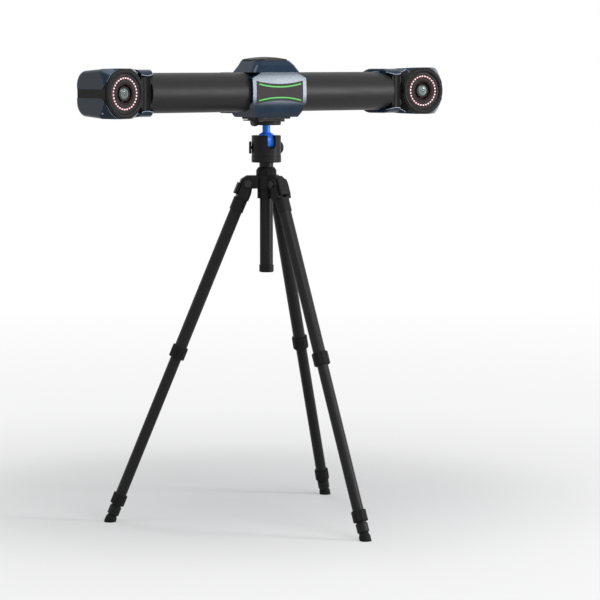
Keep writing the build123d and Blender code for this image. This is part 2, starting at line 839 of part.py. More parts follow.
# Clamp knob and its screw
with BuildPart() as clamp_knob:
    with BuildSketch(Plane.XZ.offset(-lug_end - gap)):
        with Locations((0, screw_z)):
            Circle(clamp_knob_radius)
    extrude(amount=-clamp_knob_length)
    chamfer(clamp_knob.edges().filter_by(GeomType.CIRCLE), knob_chamfer)
    with BuildSketch(Plane.XZ.offset(-lug_end - gap)):
        with Locations((0, screw_z)):
            Circle(clamp_screw_radius)
    extrude(amount=clamp_screw_length + gap)
clamp_knob.part.label = "clamp_knob"
export_step(clamp_knob.part, "parts/clamp_knob.step")

# Quick-release plate with its dovetail foot
with BuildPart() as quick_release_plate:
    with BuildSketch(Plane.YZ):
        with BuildLine():
            Polyline(
                (-dovetail_half_width, platform_top),
                (-dovetail_half_width, platform_top + dovetail_foot),
                (-jaw_tip, platform_top + dovetail_foot + dovetail_slope),
                (-jaw_tip, pad_bottom),
                (-plate_pad_half_width, pad_bottom),
                (-plate_pad_half_width, plate_top),
                (plate_pad_half_width, plate_top),
                (plate_pad_half_width, pad_bottom),
                (jaw_tip, pad_bottom),
                (jaw_tip, platform_top + dovetail_foot + dovetail_slope),
                (dovetail_half_width, platform_top + dovetail_foot),
                (dovetail_half_width, platform_top),
                close=True,
            )
        make_face()
    extrude(amount=clamp_half_length, both=True)
quick_release_plate.part.label = "quick_release_plate"
export_step(quick_release_plate.part, "parts/quick_release_plate.step")

# Base plate screwed under the block
with BuildPart() as base_plate:
    with BuildSketch(Plane.XY.offset(plate_top)):
        RectangleRounded(2 * base_plate_half_length, 2 * base_plate_half_depth, base_plate_corner)
    extrude(amount=base_plate_thickness)
base_plate.part.label = "base_plate"
export_step(base_plate.part, "parts/base_plate.step")

# Tube that joins the two camera pods
with BuildPart() as bar_tube:
    with BuildSketch(Plane.YZ.offset(-tube_half_length)):
        with Locations((0, bar_z)):
            Circle(tube_radius)
            Circle(tube_radius - tube_wall, mode=Mode.SUBTRACT)
    extrude(amount=2 * tube_half_length)
bar_tube.part.label = "bar_tube"
export_step(bar_tube.part, "parts/bar_tube.step")


# Centre block shapes
def block_section(grow):
    """Side outline of the block, grown outward by an amount."""
    with BuildSketch(Plane.YZ) as section:
        with BuildLine():
            for side_sign in (-1, 1):
                ThreePointArc(
                    (side_sign * block_edge_depth, bar_z - block_lower_edge),
                    (side_sign * block_crown_depth, bar_z),
                    (side_sign * block_edge_depth, block_top),
                )
                Line(
                    (side_sign * block_edge_depth, bar_z - block_lower_edge),
                    (side_sign * block_bottom_half_depth, block_bottom),
                )
            Line((-block_bottom_half_depth, block_bottom), (block_bottom_half_depth, block_bottom))
            Line((-block_edge_depth, block_top), (block_edge_depth, block_top))
        make_face()
        if grow != 0:
            offset(amount=grow, kind=Kind.INTERSECTION)
    return section.sketch


with BuildSketch(Plane.XZ) as face_outline:
    with BuildLine():
        Polyline(
            (-face_bottom_half_width, block_bottom),
            (-face_lower_half_width, bar_z - block_lower_edge),
            (-face_cheek_half_width, bar_z - face_cheek_drop),
            (-block_half_width, bar_z - face_lower_side),
            (-block_half_width, bar_z + face_corner_height),
            (-face_top_half_width, block_top),
            (face_top_half_width, block_top),
            (block_half_width, bar_z + face_corner_height),
            (block_half_width, bar_z - face_lower_side),
            (face_cheek_half_width, bar_z - face_cheek_drop),
            (face_lower_half_width, bar_z - block_lower_edge),
            (face_bottom_half_width, block_bottom),
            close=True,
        )
    make_face()

for shell_name, side_sign in (("front_shell", -1), ("rear_shell", 1)):
    with BuildPart() as block_shell:
        extrude(block_section(0), amount=block_half_width, both=True)
        extrude(face_outline.sketch, amount=2 * block_crown_depth, both=True, mode=Mode.INTERSECT)
        extrude(
            block_section(-block_wall),
            amount=face_top_half_width,
            both=True,
            mode=Mode.SUBTRACT,
        )
        with BuildSketch(Plane.YZ.offset(-block_half_width)):
            with Locations((0, bar_z)):
                Circle(tube_radius)
        extrude(amount=2 * block_half_width, mode=Mode.SUBTRACT)
        split(bisect_by=Plane.XZ, keep=Keep.TOP if side_sign < 0 else Keep.BOTTOM)
    block_shell.part.label = shell_name
    export_step(block_shell.part, f"parts/{shell_name}.step")

# Label plate and its two curved lights, laid on the curved front face
light_band = block_section(label_thickness + light_thickness)
with BuildSketch(Plane.XZ) as label_outline:
    with BuildLine():
        label_low = bar_z - label_corner_height
        label_high = bar_z + label_corner_height
        Line((-label_half_length, label_low), (-label_half_length, label_high))
        ThreePointArc(
            (-label_half_length, label_high),
            (0, bar_z + label_middle_height),
            (label_half_length, label_high),
        )
        Line((label_half_length, label_high), (label_half_length, label_low))
        ThreePointArc(
            (label_half_length, label_low),
            (0, bar_z - label_middle_height),
            (-label_half_length, label_low),
        )
    make_face()
with BuildSketch(Plane.XZ) as light_outline:
    for side_sign in (-1, 1):
        inner_end = bar_z + side_sign * (light_end_height - light_width)
        inner_middle = bar_z + side_sign * (light_middle_height - light_width)
        outer_end = bar_z + side_sign * light_end_height
        outer_middle = bar_z + side_sign * light_middle_height
        with BuildLine():
            ThreePointArc((-light_half_length, inner_end), (0, inner_middle), (light_half_length, inner_end))
            Line((light_half_length, inner_end), (light_half_length, outer_end))
            ThreePointArc((light_half_length, outer_end), (0, outer_middle), (-light_half_length, outer_end))
            Line((-light_half_length, outer_end), (-light_half_length, inner_end))
        make_face()
with BuildPart() as label_plate:
    extrude(block_section(label_thickness), amount=label_half_length, both=True)
    extrude(label_outline.sketch, amount=2 * block_crown_depth, mode=Mode.INTERSECT)
    extrude(light_outline.sketch, amount=2 * block_crown_depth, mode=Mode.SUBTRACT)
    extrude(block_section(0), amount=block_half_width, both=True, mode=Mode.SUBTRACT)
label_plate.part.label = "label_plate"
export_step(label_plate.part, "parts/label_plate.step")

with BuildPart() as status_lights:
    extrude(light_band, amount=light_half_length, both=True)
    extrude(light_outline.sketch, amount=2 * block_crown_depth, mode=Mode.INTERSECT)
    extrude(block_section(0), amount=block_half_width, both=True, mode=Mode.SUBTRACT)
status_lights.part.label = "status_lights"
export_step(status_lights.part, "parts/status_lights.step")


# Top housing, a low hipped roof on the block
def roof(inset):
    """Solid of the roof with its walls moved inward by an amount."""
    corner = roof_corner - inset
    with BuildPart() as solid:
        with BuildSketch(Plane.XY.offset(block_top)):
            RectangleRounded(2 * (roof_foot_half_length - inset), 2 * (roof_foot_half_depth - inset), corner)
        with BuildSketch(Plane.XY.offset(block_top + roof_shoulder_height - inset)):
            shoulder_length = 2 * (roof_shoulder_half_length - inset)
            shoulder_depth = 2 * (roof_shoulder_half_depth - inset)
            RectangleRounded(shoulder_length, shoulder_depth, corner)
        loft(ruled=True)
        with BuildSketch(Plane.XY.offset(block_top + roof_shoulder_height - inset)):
            RectangleRounded(shoulder_length, shoulder_depth, corner)
        with BuildSketch(Plane.XY.offset(roof_top - inset)):
            with Locations((0, roof_top_shift)):
                RectangleRounded(2 * (roof_top_half_length - inset), 2 * (roof_top_half_depth - inset), corner)
        loft(ruled=True)
    return solid.part


roof_outer = roof(0)
roof_inner = roof(roof_wall)
board_z = block_top + board_above_foot
with BuildPart() as top_housing:
    add(roof_outer)
    add(roof_inner, mode=Mode.SUBTRACT)
    with BuildSketch(Plane.XY.offset(board_z + board_thickness)):
        with GridLocations(
            2 * (board_half_length - board_post_inset), 2 * (board_half_depth - board_post_inset), 2, 2
        ):
            Circle(board_post_radius)
    extrude(amount=roof_top - roof_wall / 2 - board_z - board_thickness)
top_housing.part.label = "top_housing"
export_step(top_housing.part, "parts/top_housing.step")

# Shallow domed cap on the roof
cap_drop = cap_height - cap_rim_height
dome_radius = (cap_half_length**2 + cap_drop**2) / (2 * cap_drop)
with BuildPart() as top_cap:
    with BuildSketch(Plane.XY.offset(roof_top)):
        with Locations((0, cap_shift)):
            RectangleRounded(2 * cap_half_length, 2 * cap_half_depth, cap_corner)
    extrude(amount=cap_height)
    with Locations((0, cap_shift, roof_top + cap_height - dome_radius)):
        Sphere(dome_radius, mode=Mode.INTERSECT)
top_cap.part.label = "top_cap"
export_step(top_cap.part, "parts/top_cap.step")

# Connector box on the back of the block, with its two sockets
box_low = bar_z - box_below_axis
box_high = bar_z + box_above_axis
socket_z = bar_z - socket_below_axis
with BuildPart() as connector_box:
    with BuildSketch(Plane.XY.offset(box_low)):
        with Locations((0, box_back / 2)):
            Rectangle(2 * box_half_length, box_back)
    extrude(amount=box_high - box_low)
    fillet(connector_box.faces().sort_by(Axis.Y)[-1].edges(), box_corner)
    with BuildSketch(Plane.XY.offset(box_low + box_wall)):
        with Locations((0, (box_back - box_wall) / 2)):
            Rectangle(2 * (box_half_length - box_wall), box_back - box_wall)
    extrude(amount=box_high - box_low - 2 * box_wall, mode=Mode.SUBTRACT)
    extrude(block_section(0), amount=block_half_width, both=True, mode=Mode.SUBTRACT)
    with BuildSketch(Plane.YZ.offset(-box_half_length)):
        with Locations((0, bar_z)):
            Circle(tube_radius)
    extrude(amount=2 * box_half_length, mode=Mode.SUBTRACT)
    split(bisect_by=Plane.XZ.offset(-block_bottom_half_depth), keep=Keep.BOTTOM)
    for socket_x, socket_radius_now in (
        (-socket_spacing / 2, power_socket_radius),
        (socket_spacing / 2, data_socket_radius),
    ):
        with BuildSketch(Plane.XZ.offset(-box_back)):
            with Locations((socket_x, socket_z)):
                Circle(socket_radius_now + socket_collar)
        extrude(amount=-socket_collar_height)
        with BuildSketch(Plane.XZ.offset(-box_back)):
            with Locations((socket_x, socket_z)):
                Circle(socket_radius_now + socket_collar)
        extrude(amount=socket_depth)
        with BuildSketch(Plane.XZ.offset(-box_back - socket_collar_height)):
            with Locations((socket_x, socket_z)):
                Circle(socket_radius_now)
        extrude(amount=socket_depth, mode=Mode.SUBTRACT)
connector_box.part.label = "connector_box"
export_step(connector_box.part, "parts/connector_box.step")

# Directions of the right-hand camera: its face looks forward and a little inward
toe_sin = sin(radians(toe_in))
toe_cos = cos(radians(toe_in))
look = Vector(-toe_sin, -toe_cos, 0)
across = Vector(toe_cos, -toe_sin, 0)
ring_centre = Vector(camera_offset, -camera_forward, bar_z)
ring_plane = Plane(ring_centre, x_dir=across, z_dir=look)
ring_side = Plane(ring_centre, x_dir=-look, z_dir=across)
taper = atan((pod_front_half_height - pod_rear_half_height) / (camera_forward + pod_rear))
pod_span = pod_side - pod_inner_side


def pod_bulb(inset):
    """Main form of the right pod, moved inward by an amount."""
    front_y = -camera_forward - pod_span / 2
    front_half = pod_front_half_height + pod_span / 2 * tan(taper)
    bevel_angle = atan(pod_front_bevel / pod_bevel_depth)
    with BuildPart() as body:
        with BuildSketch(Plane.YZ.offset(pod_inner_side + inset)) as outline:
            with BuildLine():
                Polyline(
                    (front_y, bar_z - front_half),
                    (pod_rear, bar_z - pod_rear_half_height),
                    (pod_rear, bar_z + pod_rear_half_height),
                    (front_y, bar_z + front_half),
                    close=True,
                )
            make_face()
            fillet(outline.vertices().group_by(Axis.X)[-1], pod_rear_corner)
            if inset > 0:
                offset(amount=-inset)
        extrude(amount=pod_span - 2 * inset)
        outer_edges = body.faces().sort_by(Axis.X)[-1].edges().sort_by(Axis.Y)[1:]
        fillet(outer_edges, pod_side_round - inset)
        with BuildSketch(ring_side):
            front_radius = pod_front_radius - inset / cos(bevel_angle)
            Polygon(
                (0, 0),
                (0, front_radius),
                (pod_bevel_depth, front_radius + pod_front_bevel),
                (pod_bevel_depth, 2 * pod_side),
                (pod_side, 2 * pod_side),
                (pod_side, 0),
                align=None,
            )
        revolve(axis=Axis(ring_centre, look), mode=Mode.INTERSECT)
    return body.part


def pod_sleeve(inset):
    """Boxy sleeve that the shells form over the tube's end, moved inward by an amount."""
    slant = radians(sleeve_end_slant)
    end_normal = Vector(cos(slant), sin(slant), 0)
    with BuildPart() as sleeve:
        with BuildSketch(Plane.YZ.offset(sleeve_end - sleeve_half_depth)):
            with Locations((0, bar_z)):
                depth = 2 * (sleeve_half_depth - inset)
                height = 2 * (sleeve_half_height - inset)
                RectangleRounded(depth, height, sleeve_corner - inset)
        extrude(amount=pod_inner_side - sleeve_end + sleeve_half_depth)
        split(
            bisect_by=Plane(Vector(sleeve_end, 0, bar_z) + end_normal * inset, z_dir=end_normal),
            keep=Keep.TOP,
        )
        fillet(sleeve.faces().sort_by(Axis.X)[0].edges(), sleeve_end_round - inset)
    return sleeve.part


def half_region(sign):
    """Space that the upper or lower shell of the right pod is cut from."""
    with BuildPart() as region:
        with BuildSketch(ring_side.offset(pod_inner_side - camera_offset)):
            with BuildLine():
                Polyline(
                    (pod_side, sign * band_half_height),
                    (pod_side, sign * pod_side),
                    (rim_depth, sign * pod_side),
                    (rim_depth, sign * rim_corner_height),
                )
                ThreePointArc(
                    (rim_depth, sign * rim_corner_height),
                    (rim_bend_depth, sign * rim_bend_height),
                    (band_start, sign * band_half_height),
                )
                Line((band_start, sign * band_half_height), (pod_side, sign * band_half_height))
            make_face()
        extrude(amount=pod_span)
        split(bisect_by=Plane.YZ.offset(lip_outer_offset), keep=Keep.TOP)
        with BuildSketch(Plane.XZ.offset(-pod_side)):
            with BuildLine():
                Spline(
                    (lip_inner_offset, bar_z + sign * lip_inner_height),
                    (lip_waist_offset, bar_z + sign * lip_waist_height),
                    (lip_outer_offset, bar_z + sign * lip_outer_height),
                )
                Polyline(
                    (lip_outer_offset, bar_z + sign * lip_outer_height),
                    (lip_outer_offset, bar_z + sign * pod_side),
                    (0, bar_z + sign * pod_side),
                    (0, bar_z + sign * lip_end_height),
                    (lip_inner_offset, bar_z + sign * lip_end_height),
                    (lip_inner_offset, bar_z + sign * lip_inner_height),
                )
            make_face()
        extrude(amount=2 * pod_side)
    return region.part


bulb_outer = pod_bulb(0)
bulb_lining = pod_bulb(pod_wall)
sleeve_outer = pod_sleeve(0)
sleeve_lining = pod_sleeve(pod_wall)
upper_region = half_region(1)
lower_region = half_region(-1)

# Space inside the right pod for the camera
with BuildPart() as pod_cavity:
    add(pod_bulb(pod_wall + pod_core_wall))
    split(bisect_by=ring_plane.offset(-bulkhead_depth), keep=Keep.BOTTOM)
    split(bisect_by=Plane.YZ.offset(pod_inner_side + pod_core_wall), keep=Keep.TOP)

# Black core of the right pod: housing, outer band, front face and neck
with BuildPart() as right_pod_core:
    add(pod_bulb(band_recess))
    add(upper_region, mode=Mode.SUBTRACT)
    add(lower_region, mode=Mode.SUBTRACT)
    add(bulb_lining)
    with BuildSketch(Plane.YZ.offset(tube_half_length)):
        with Locations((0, bar_z)):
            RectangleRounded(2 * neck_half_depth, 2 * neck_half_height, neck_corner)
    extrude(amount=pod_inner_side - tube_half_length + band_recess)
    with BuildSketch(Plane.XY.offset(bar_z)):
        with Locations(((tube_half_length + pod_inner_side) / 2, -neck_half_depth - neck_groove_offset)):
            Circle(neck_groove_radius)
    extrude(amount=neck_half_height - neck_groove_stop, both=True, mode=Mode.SUBTRACT)
    with BuildSketch(Plane.YZ.offset(tube_half_length - spigot_length)):
        with Locations((0, bar_z)):
            Circle(tube_radius - tube_wall)
    extrude(amount=spigot_length)
    add(pod_cavity.part, mode=Mode.SUBTRACT)
    with BuildSketch(Plane.YZ.offset(tube_half_length - spigot_length)):
        with Locations((0, bar_z)):
            Circle(cable_bore_radius)
    extrude(amount=pod_inner_side + 2 * pod_core_wall - tube_half_length + spigot_length, mode=Mode.SUBTRACT)
    with BuildSketch(ring_plane):
        Circle(bezel_radius)
    extrude(amount=-bezel_seat, mode=Mode.SUBTRACT)
    with BuildSketch(ring_plane):
        Circle(barrel_radius)
    extrude(amount=-2 * bulkhead_depth, mode=Mode.SUBTRACT)
right_pod_core.part.label = "right_pod_core"
export_step(right_pod_core.part, "parts/right_pod_core.step")

with BuildPart() as left_pod_core:
    mirror(right_pod_core.part, about=Plane.YZ)
left_pod_core.part.label = "left_pod_core"
export_step(left_pod_core.part, "parts/left_pod_core.step")

# Painted upper and lower shells of the pods
for half_name, region in (("upper", upper_region), ("lower", lower_region)):
    with BuildPart() as right_shell:
        add(bulb_outer)
        add(sleeve_outer)
        add(bulb_lining, mode=Mode.SUBTRACT)
        add(sleeve_lining, mode=Mode.SUBTRACT)
        add(region, mode=Mode.INTERSECT)
        with BuildSketch(Plane.YZ):
            with Locations((0, bar_z)):
                Circle(tube_radius)
        extrude(amount=tube_half_length, mode=Mode.SUBTRACT)
        add(right_pod_core.part, mode=Mode.SUBTRACT)
    right_shell.part.label = f"right_pod_{half_name}_shell"
    export_step(right_shell.part, f"parts/right_pod_{half_name}_shell.step")
    with BuildPart() as left_shell:
        mirror(right_shell.part, about=Plane.YZ)
    left_shell.part.label = f"left_pod_{half_name}_shell"
    export_step(left_shell.part, f"parts/left_pod_{half_name}_shell.step")

# Bezels round the two cameras
with BuildPart() as camera_bezels:
    with BuildSketch(ring_plane.offset(-bezel_seat)):
        Circle(bezel_radius)
        Circle(bezel_inner_radius, mode=Mode.SUBTRACT)
    extrude(amount=bezel_seat + bezel_stand)
    chamfer(camera_bezels.faces().sort_by(Axis(ring_centre, look))[-1].edges(), bezel_chamfer)
    mirror(about=Plane.YZ)
camera_bezels.part.label = "camera_bezels"
export_step(camera_bezels.part, "parts/camera_bezels.step")

# Lamp plates, one round each lens
with BuildPart() as led_plates:
    with BuildSketch(ring_plane.offset(-bezel_seat)):
        Circle(bezel_inner_radius)
        Circle(barrel_radius, mode=Mode.SUBTRACT)
    extrude(amount=bezel_seat - led_plate_front)
    mirror(about=Plane.YZ)
led_plates.part.label = "led_plates"
export_step(led_plates.part, "parts/led_plates.step")

# Infrared lamps
with BuildPart() as infrared_leds:
    with BuildSketch(ring_plane.offset(-led_plate_front)):
        with PolarLocations(led_ring_radius, led_count):
            Circle(led_radius)
    extrude(amount=led_height)
    mirror(about=Plane.YZ)
infrared_leds.part.label = "infrared_leds"
export_step(infrared_leds.part, "parts/infrared_leds.step")

# Lens barrels, each with a well round the cell that holds the lens
lens_back = lens_depth + lens_thickness
with BuildPart() as lens_barrels:
    with BuildSketch(ring_side):
        Polygon(
            (barrel_front, barrel_mouth_radius),
            (barrel_front, barrel_radius),
            (barrel_step, barrel_radius),
            (barrel_step, barrel_rear_radius),
            (barrel_length, barrel_rear_radius),
            (barrel_length, lens_bore_radius),
            (lens_back, lens_bore_radius),
            (lens_back, lens_radius),
            (lens_cell_front, lens_radius),
            (lens_cell_front, lens_cell_radius),
            (lens_well_depth, lens_cell_radius),
            (lens_well_depth, barrel_mouth_radius),
            align=None,
        )
    revolve(axis=Axis(ring_centre, look))
    mirror(about=Plane.YZ)
lens_barrels.part.label = "lens_barrels"
export_step(lens_barrels.part, "parts/lens_barrels.step")

# Front lens elements
with BuildPart() as lens_glasses:
    with BuildSketch(ring_side):
        with BuildLine():
            rim = (lens_depth, lens_radius)
            bulge_radius = (lens_radius**2 + lens_bulge**2) / (2 * lens_bulge)
            mid_radius = lens_radius / 2
            mid_depth = lens_depth - lens_bulge + bulge_radius - sqrt(bulge_radius**2 - mid_radius**2)
            ThreePointArc((lens_depth - lens_bulge, 0), (mid_depth, mid_radius), rim)
            Polyline(rim, (lens_back, lens_radius), (lens_back, 0), (lens_depth - lens_bulge, 0))
        make_face()
    revolve(axis=Axis(ring_centre, look))
    mirror(about=Plane.YZ)
lens_glasses.part.label = "lens_glasses"
export_step(lens_glasses.part, "parts/lens_glasses.step")

# Main board under the roof and a sensor board behind each lens
with BuildPart() as circuit_boards:
    with BuildSketch(ring_plane.offset(-barrel_length)):
        Rectangle(sensor_board_width, sensor_board_height)
    extrude(amount=-board_thickness)
    mirror(about=Plane.YZ)
    with BuildSketch(Plane.XY.offset(board_z)):
        Rectangle(2 * board_half_length, 2 * board_half_depth)
    extrude(amount=board_thickness)
circuit_boards.part.label = "circuit_boards"
export_step(circuit_boards.part, "parts/circuit_boards.step")
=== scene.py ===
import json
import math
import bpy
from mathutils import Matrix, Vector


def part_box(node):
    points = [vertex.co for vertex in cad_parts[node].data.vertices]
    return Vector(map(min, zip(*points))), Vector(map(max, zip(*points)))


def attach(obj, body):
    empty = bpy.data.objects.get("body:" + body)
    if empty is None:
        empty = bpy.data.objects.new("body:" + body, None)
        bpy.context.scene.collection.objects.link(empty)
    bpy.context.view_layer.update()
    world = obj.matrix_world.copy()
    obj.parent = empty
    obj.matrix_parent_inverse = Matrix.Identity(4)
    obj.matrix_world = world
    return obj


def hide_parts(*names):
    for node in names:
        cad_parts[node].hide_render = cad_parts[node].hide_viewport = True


bl_info = {
    "name": "Optical tracking scanner on its stand",
    "version": (1, 0, 0),
    "blender": (4, 5, 0),
    "location": "View3D > Sidebar > Scanner",
    "description": "Dresses the packed scanner, ball head and tripod with detailed pieces and finishes",
    "category": "Object",
}

import bmesh
import bpy
from mathutils import Matrix, Vector

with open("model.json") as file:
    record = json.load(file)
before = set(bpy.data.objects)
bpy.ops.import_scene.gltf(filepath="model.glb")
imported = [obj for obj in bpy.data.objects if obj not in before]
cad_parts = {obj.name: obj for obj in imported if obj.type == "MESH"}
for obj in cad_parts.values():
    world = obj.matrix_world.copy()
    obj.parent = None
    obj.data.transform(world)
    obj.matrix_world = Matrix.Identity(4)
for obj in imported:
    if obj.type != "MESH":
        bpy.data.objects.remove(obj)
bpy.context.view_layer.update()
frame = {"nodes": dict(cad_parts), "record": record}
nodes = frame["nodes"]
behaviour = frame["record"]["behaviour"]
node_body = {node: body for body, names in behaviour["bodies"].items() for node in names}
joints = {joint["name"]: joint for joint in behaviour["joints"]}
legs = ("front", "right_rear", "left_rear")
sides = (("right", 1), ("left", -1))
finishes = {}

# Meshes: lengths in metres, areas in square metres
WELD = 0.00002
FLAT_JOIN = math.radians(0.4)
ROUND_SEGMENTS = 96
EVEN_SHADING = 60
SIDE_FACE_TILT = 0.1
LOCK_FACE_AREA = 0.0002
COLLAR_FACE_AREA = 0.0001

# Beads, screws and channels that the CAD model doesn't have
RIM_WIDTH = 0.0022
RIM_CORNER = math.radians(35)
RIM_MERGE = 0.0008
RIM_WALL = 0.2
RIM_SKIN = 0.3
SCREW_OUT = 0.06
SCREW_DOWN = 0.049
SCREW_BACK = 0.0197
SCREW_SPOKE = 0.825
SCREW_LOOK = 0.565
SCREW_SEGMENTS = 20
SCREW_SECTION = (
    (0, -0.002),
    (0.0022, -0.002),
    (0.0022, 0.0004),
    (0.0018, 0.0007),
    (0.0009, 0.0007),
    (0.0007, 0),
    (0, 0),
)
CHANNEL_NARROWING = 0.06
CHANNEL_BACK = 0.0007
CHANNEL_SHIFT = 0.0028

# Cameras: depths are measured from the pods' front plane
RING_BACK = -0.004
LAMP_FLOOR = -0.0022
BARREL_END = -0.058
LENS_SHARE = 0.74
PUPIL_SHARE = 0.3
LENS_RIM = 0.0026
LENS_BULGE = 0.0018
PUPIL_BULGE = 0.0012
GLASS_BACK = 0.003
LAMP_SEGMENTS = 12
PUPIL_SEGMENTS = 64

# Grain of the finishes
RELIEF_DEPTH = 0.0002
WIDE_GRAIN = 25
GRAIN_SPREAD = (0.3, 0.7)
TINT_SPREAD = (0.35, 0.65)

# Floor, lights and camera
FLOOR_RADIUS = 30.0
# FLOOR_CENTRE, FADE_REACH and FADE paint light on the floor: a white glow that grows with distance from a
# centre near the stand, so the floor is darker near the stand and white far from it.
FLOOR_CENTRE = (0.14, 0.3)
FLOOR_NEAR = (0.74, 0.74, 0.75)
FLOOR_BOUNCE = (0.4, 0.4, 0.41)
FADE_REACH = 6.0
FADE = ((0.2, 0.25), (0.7, 0.4), (1.1, 0.72), (1.9, 0.85), (5.0, 1.0))
FILL_COLOUR = (0.95, 0.975, 1.0)
FILL_STRENGTH = 0.22
LIGHT_AIM = Vector((0, 0, 1.0))
SOFT_EDGE = 0.35
SOFT_GAIN = 1.45
SENSOR_WIDTH = 36.0
LENS_LENGTH = 157.47
CAMERA_REACH = 100.0
CAMERA_PLACE = (-4.190, -5.584, 1.2389)
CAMERA_BEARING = math.radians(36.88)
CAMERA_YAW = math.radians(0.738)
CAMERA_PITCH = math.radians(5.315)


# Places taken from the frame
def bar_height():
    """Height of the bar's axis."""
    low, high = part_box("bar_tube")
    return ((low + high) / 2).z


def pod_axis(side):
    """Centre of a camera's front plane and the way it looks; side is 1 on the right, -1 on the left."""
    sizes = bpy.context.scene.camera_pod
    turn = sizes.toe_in
    centre = Vector((side * sizes.offset, -sizes.forward, bar_height()))
    look = Vector((-side * math.sin(turn), -math.cos(turn), 0))
    return centre, look


def leg_axis(leg):
    """Pivot and downward direction of a leg."""
    fold = joints[f"{leg}_leg_fold"]
    slide = joints[f"{leg}_lower_slide"]
    return Vector(fold["pos_m"]), Vector(slide["axis"]).normalized()


# Mesh helpers
def from_node(node):
    """A merged copy of a CAD node's mesh, with its flat faces joined."""
    bm = bmesh.new()
    bm.from_mesh(nodes[node].data)
    bmesh.ops.remove_doubles(bm, verts=bm.verts[:], dist=WELD)
    bmesh.ops.dissolve_limit(bm, angle_limit=FLAT_JOIN, verts=bm.verts[:], edges=bm.edges[:])
    return bm


def turned(bm, section, segments, closed=True):
    """Spins a section of (radius, height) points about Z."""
    verts = [bm.verts.new((radius, 0, height)) for radius, height in section]
    edges = [bm.edges.new((verts[i], verts[i + 1])) for i in range(len(verts) - 1)]
    if closed:
        edges.append(bm.edges.new((verts[-1], verts[0])))
    bmesh.ops.spin(
        bm,
        geom=verts + edges,
        cent=(0, 0, 0),
        axis=(0, 0, 1),
        angle=2 * math.pi,
        steps=segments,
        use_merge=True,
        use_duplicate=False,
    )
    bmesh.ops.remove_doubles(bm, verts=bm.verts[:], dist=WELD)
    bmesh.ops.recalc_face_normals(bm, faces=bm.faces[:])


def place(bm, origin, direction):
    """Moves geometry made about Z so that it stands at a point along a direction."""
    turn = Vector((0, 0, 1)).rotation_difference(direction).to_matrix().to_4x4()
    bmesh.ops.transform(bm, matrix=Matrix.Translation(origin) @ turn, verts=bm.verts[:])


def join(target, source):
    """Adds one bmesh to another and frees it."""
    mesh = bpy.data.meshes.new("joined")
    source.to_mesh(mesh)
    source.free()
    target.from_mesh(mesh)
    bpy.data.meshes.remove(mesh)


def finish_piece(bm, name, finish, body, stands_for=(), bevel=0.0, steps=2, sharp=32, angle=30):
    """Makes a bmesh an object at the origin, finished, named and riding on a body."""
    mesh = bpy.data.meshes.new(name)
    bm.to_mesh(mesh)
    bm.free()
    mesh.shade_smooth()
    mesh.set_sharp_from_angle(angle=math.radians(sharp))
    mesh.materials.append(finishes[finish])
    piece = bpy.data.objects.new(name, mesh)
    bpy.context.scene.collection.objects.link(piece)
    if bevel > 0:
        edge = piece.modifiers.new("Edge", "BEVEL")
        edge.width = bevel
        edge.segments = steps
        edge.limit_method = "ANGLE"
        edge.angle_limit = math.radians(angle)
        edge.miter_outer = "MITER_ARC"
        edge.use_clamp_overlap = True
        edge.harden_normals = False
        even = piece.modifiers.new("Even shading", "WEIGHTED_NORMAL")
        even.keep_sharp = True
        even.weight = EVEN_SHADING
    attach(piece, body)
    if stands_for:
        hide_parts(*stands_for)


def dress(node, name, finish, bevel=0.0004, steps=2, angle=30, change=None):
    """Makes a finished copy of a CAD node with softened edges, in the node's place."""
    bm = from_node(node)
    if change:
        change(bm)
    finish_piece(
        bm, name, finish, node_body[node], (node,), bevel=bevel, steps=steps, angle=angle
    )


# Finishes
def new_node(tree, kind, values=None):
    """A new shader node with values for some of its inputs."""
    node = tree.nodes.new(kind)
    for socket, value in (values or {}).items():
        node.inputs[socket].default_value = value
    return node


def shader(name, base, roughness, metallic=0.0, coat=0.0, coat_roughness=0.05, specular=0.5):
    """A new material with its plain values on the shader's own sockets."""
    material = bpy.data.materials.new(name)
    material.use_nodes = True
    principled = material.node_tree.nodes["Principled BSDF"]
    principled.inputs["Base Color"].default_value = (*base, 1)
    principled.inputs["Roughness"].default_value = roughness
    principled.inputs["Metallic"].default_value = metallic
    principled.inputs["Coat Weight"].default_value = coat
    principled.inputs["Coat Roughness"].default_value = coat_roughness
    principled.inputs["Specular IOR Level"].default_value = specular
    return material, principled


def grain(tree, principled, scale, bump, rough, tint=None, stretch=(1, 1, 1), detail=3.0):
    """Adds a fine grain: bump, a spread of roughness and a slight change of colour."""
    coordinates = new_node(tree, "ShaderNodeTexCoord")
    mapping = new_node(tree, "ShaderNodeMapping", {"Scale": stretch})
    tree.links.new(coordinates.outputs["Object"], mapping.inputs["Vector"])
    if bump:
        fine = new_node(tree, "ShaderNodeTexNoise", {"Scale": scale, "Detail": detail})
        relief = new_node(tree, "ShaderNodeBump", {"Strength": bump, "Distance": RELIEF_DEPTH})
        tree.links.new(mapping.outputs["Vector"], fine.inputs["Vector"])
        tree.links.new(fine.outputs["Fac"], relief.inputs["Height"])
        tree.links.new(relief.outputs["Normal"], principled.inputs["Normal"])
    wide = new_node(tree, "ShaderNodeTexNoise", {"Scale": scale / WIDE_GRAIN, "Detail": 5.0})
    tree.links.new(mapping.outputs["Vector"], wide.inputs["Vector"])
    spread = new_node(
        tree,
        "ShaderNodeMapRange",
        {"From Min": GRAIN_SPREAD[0], "From Max": GRAIN_SPREAD[1], "To Min": rough[0], "To Max": rough[1]},
    )
    tree.links.new(wide.outputs["Fac"], spread.inputs["Value"])
    tree.links.new(spread.outputs["Result"], principled.inputs["Roughness"])
    if tint:
        ramp = new_node(tree, "ShaderNodeValToRGB")
        for element, position, colour in zip(ramp.color_ramp.elements, TINT_SPREAD, tint):
            element.position = position
            element.color = (*colour, 1)
        tree.links.new(wide.outputs["Fac"], ramp.inputs["Fac"])
        tree.links.new(ramp.outputs["Color"], principled.inputs["Base Color"])


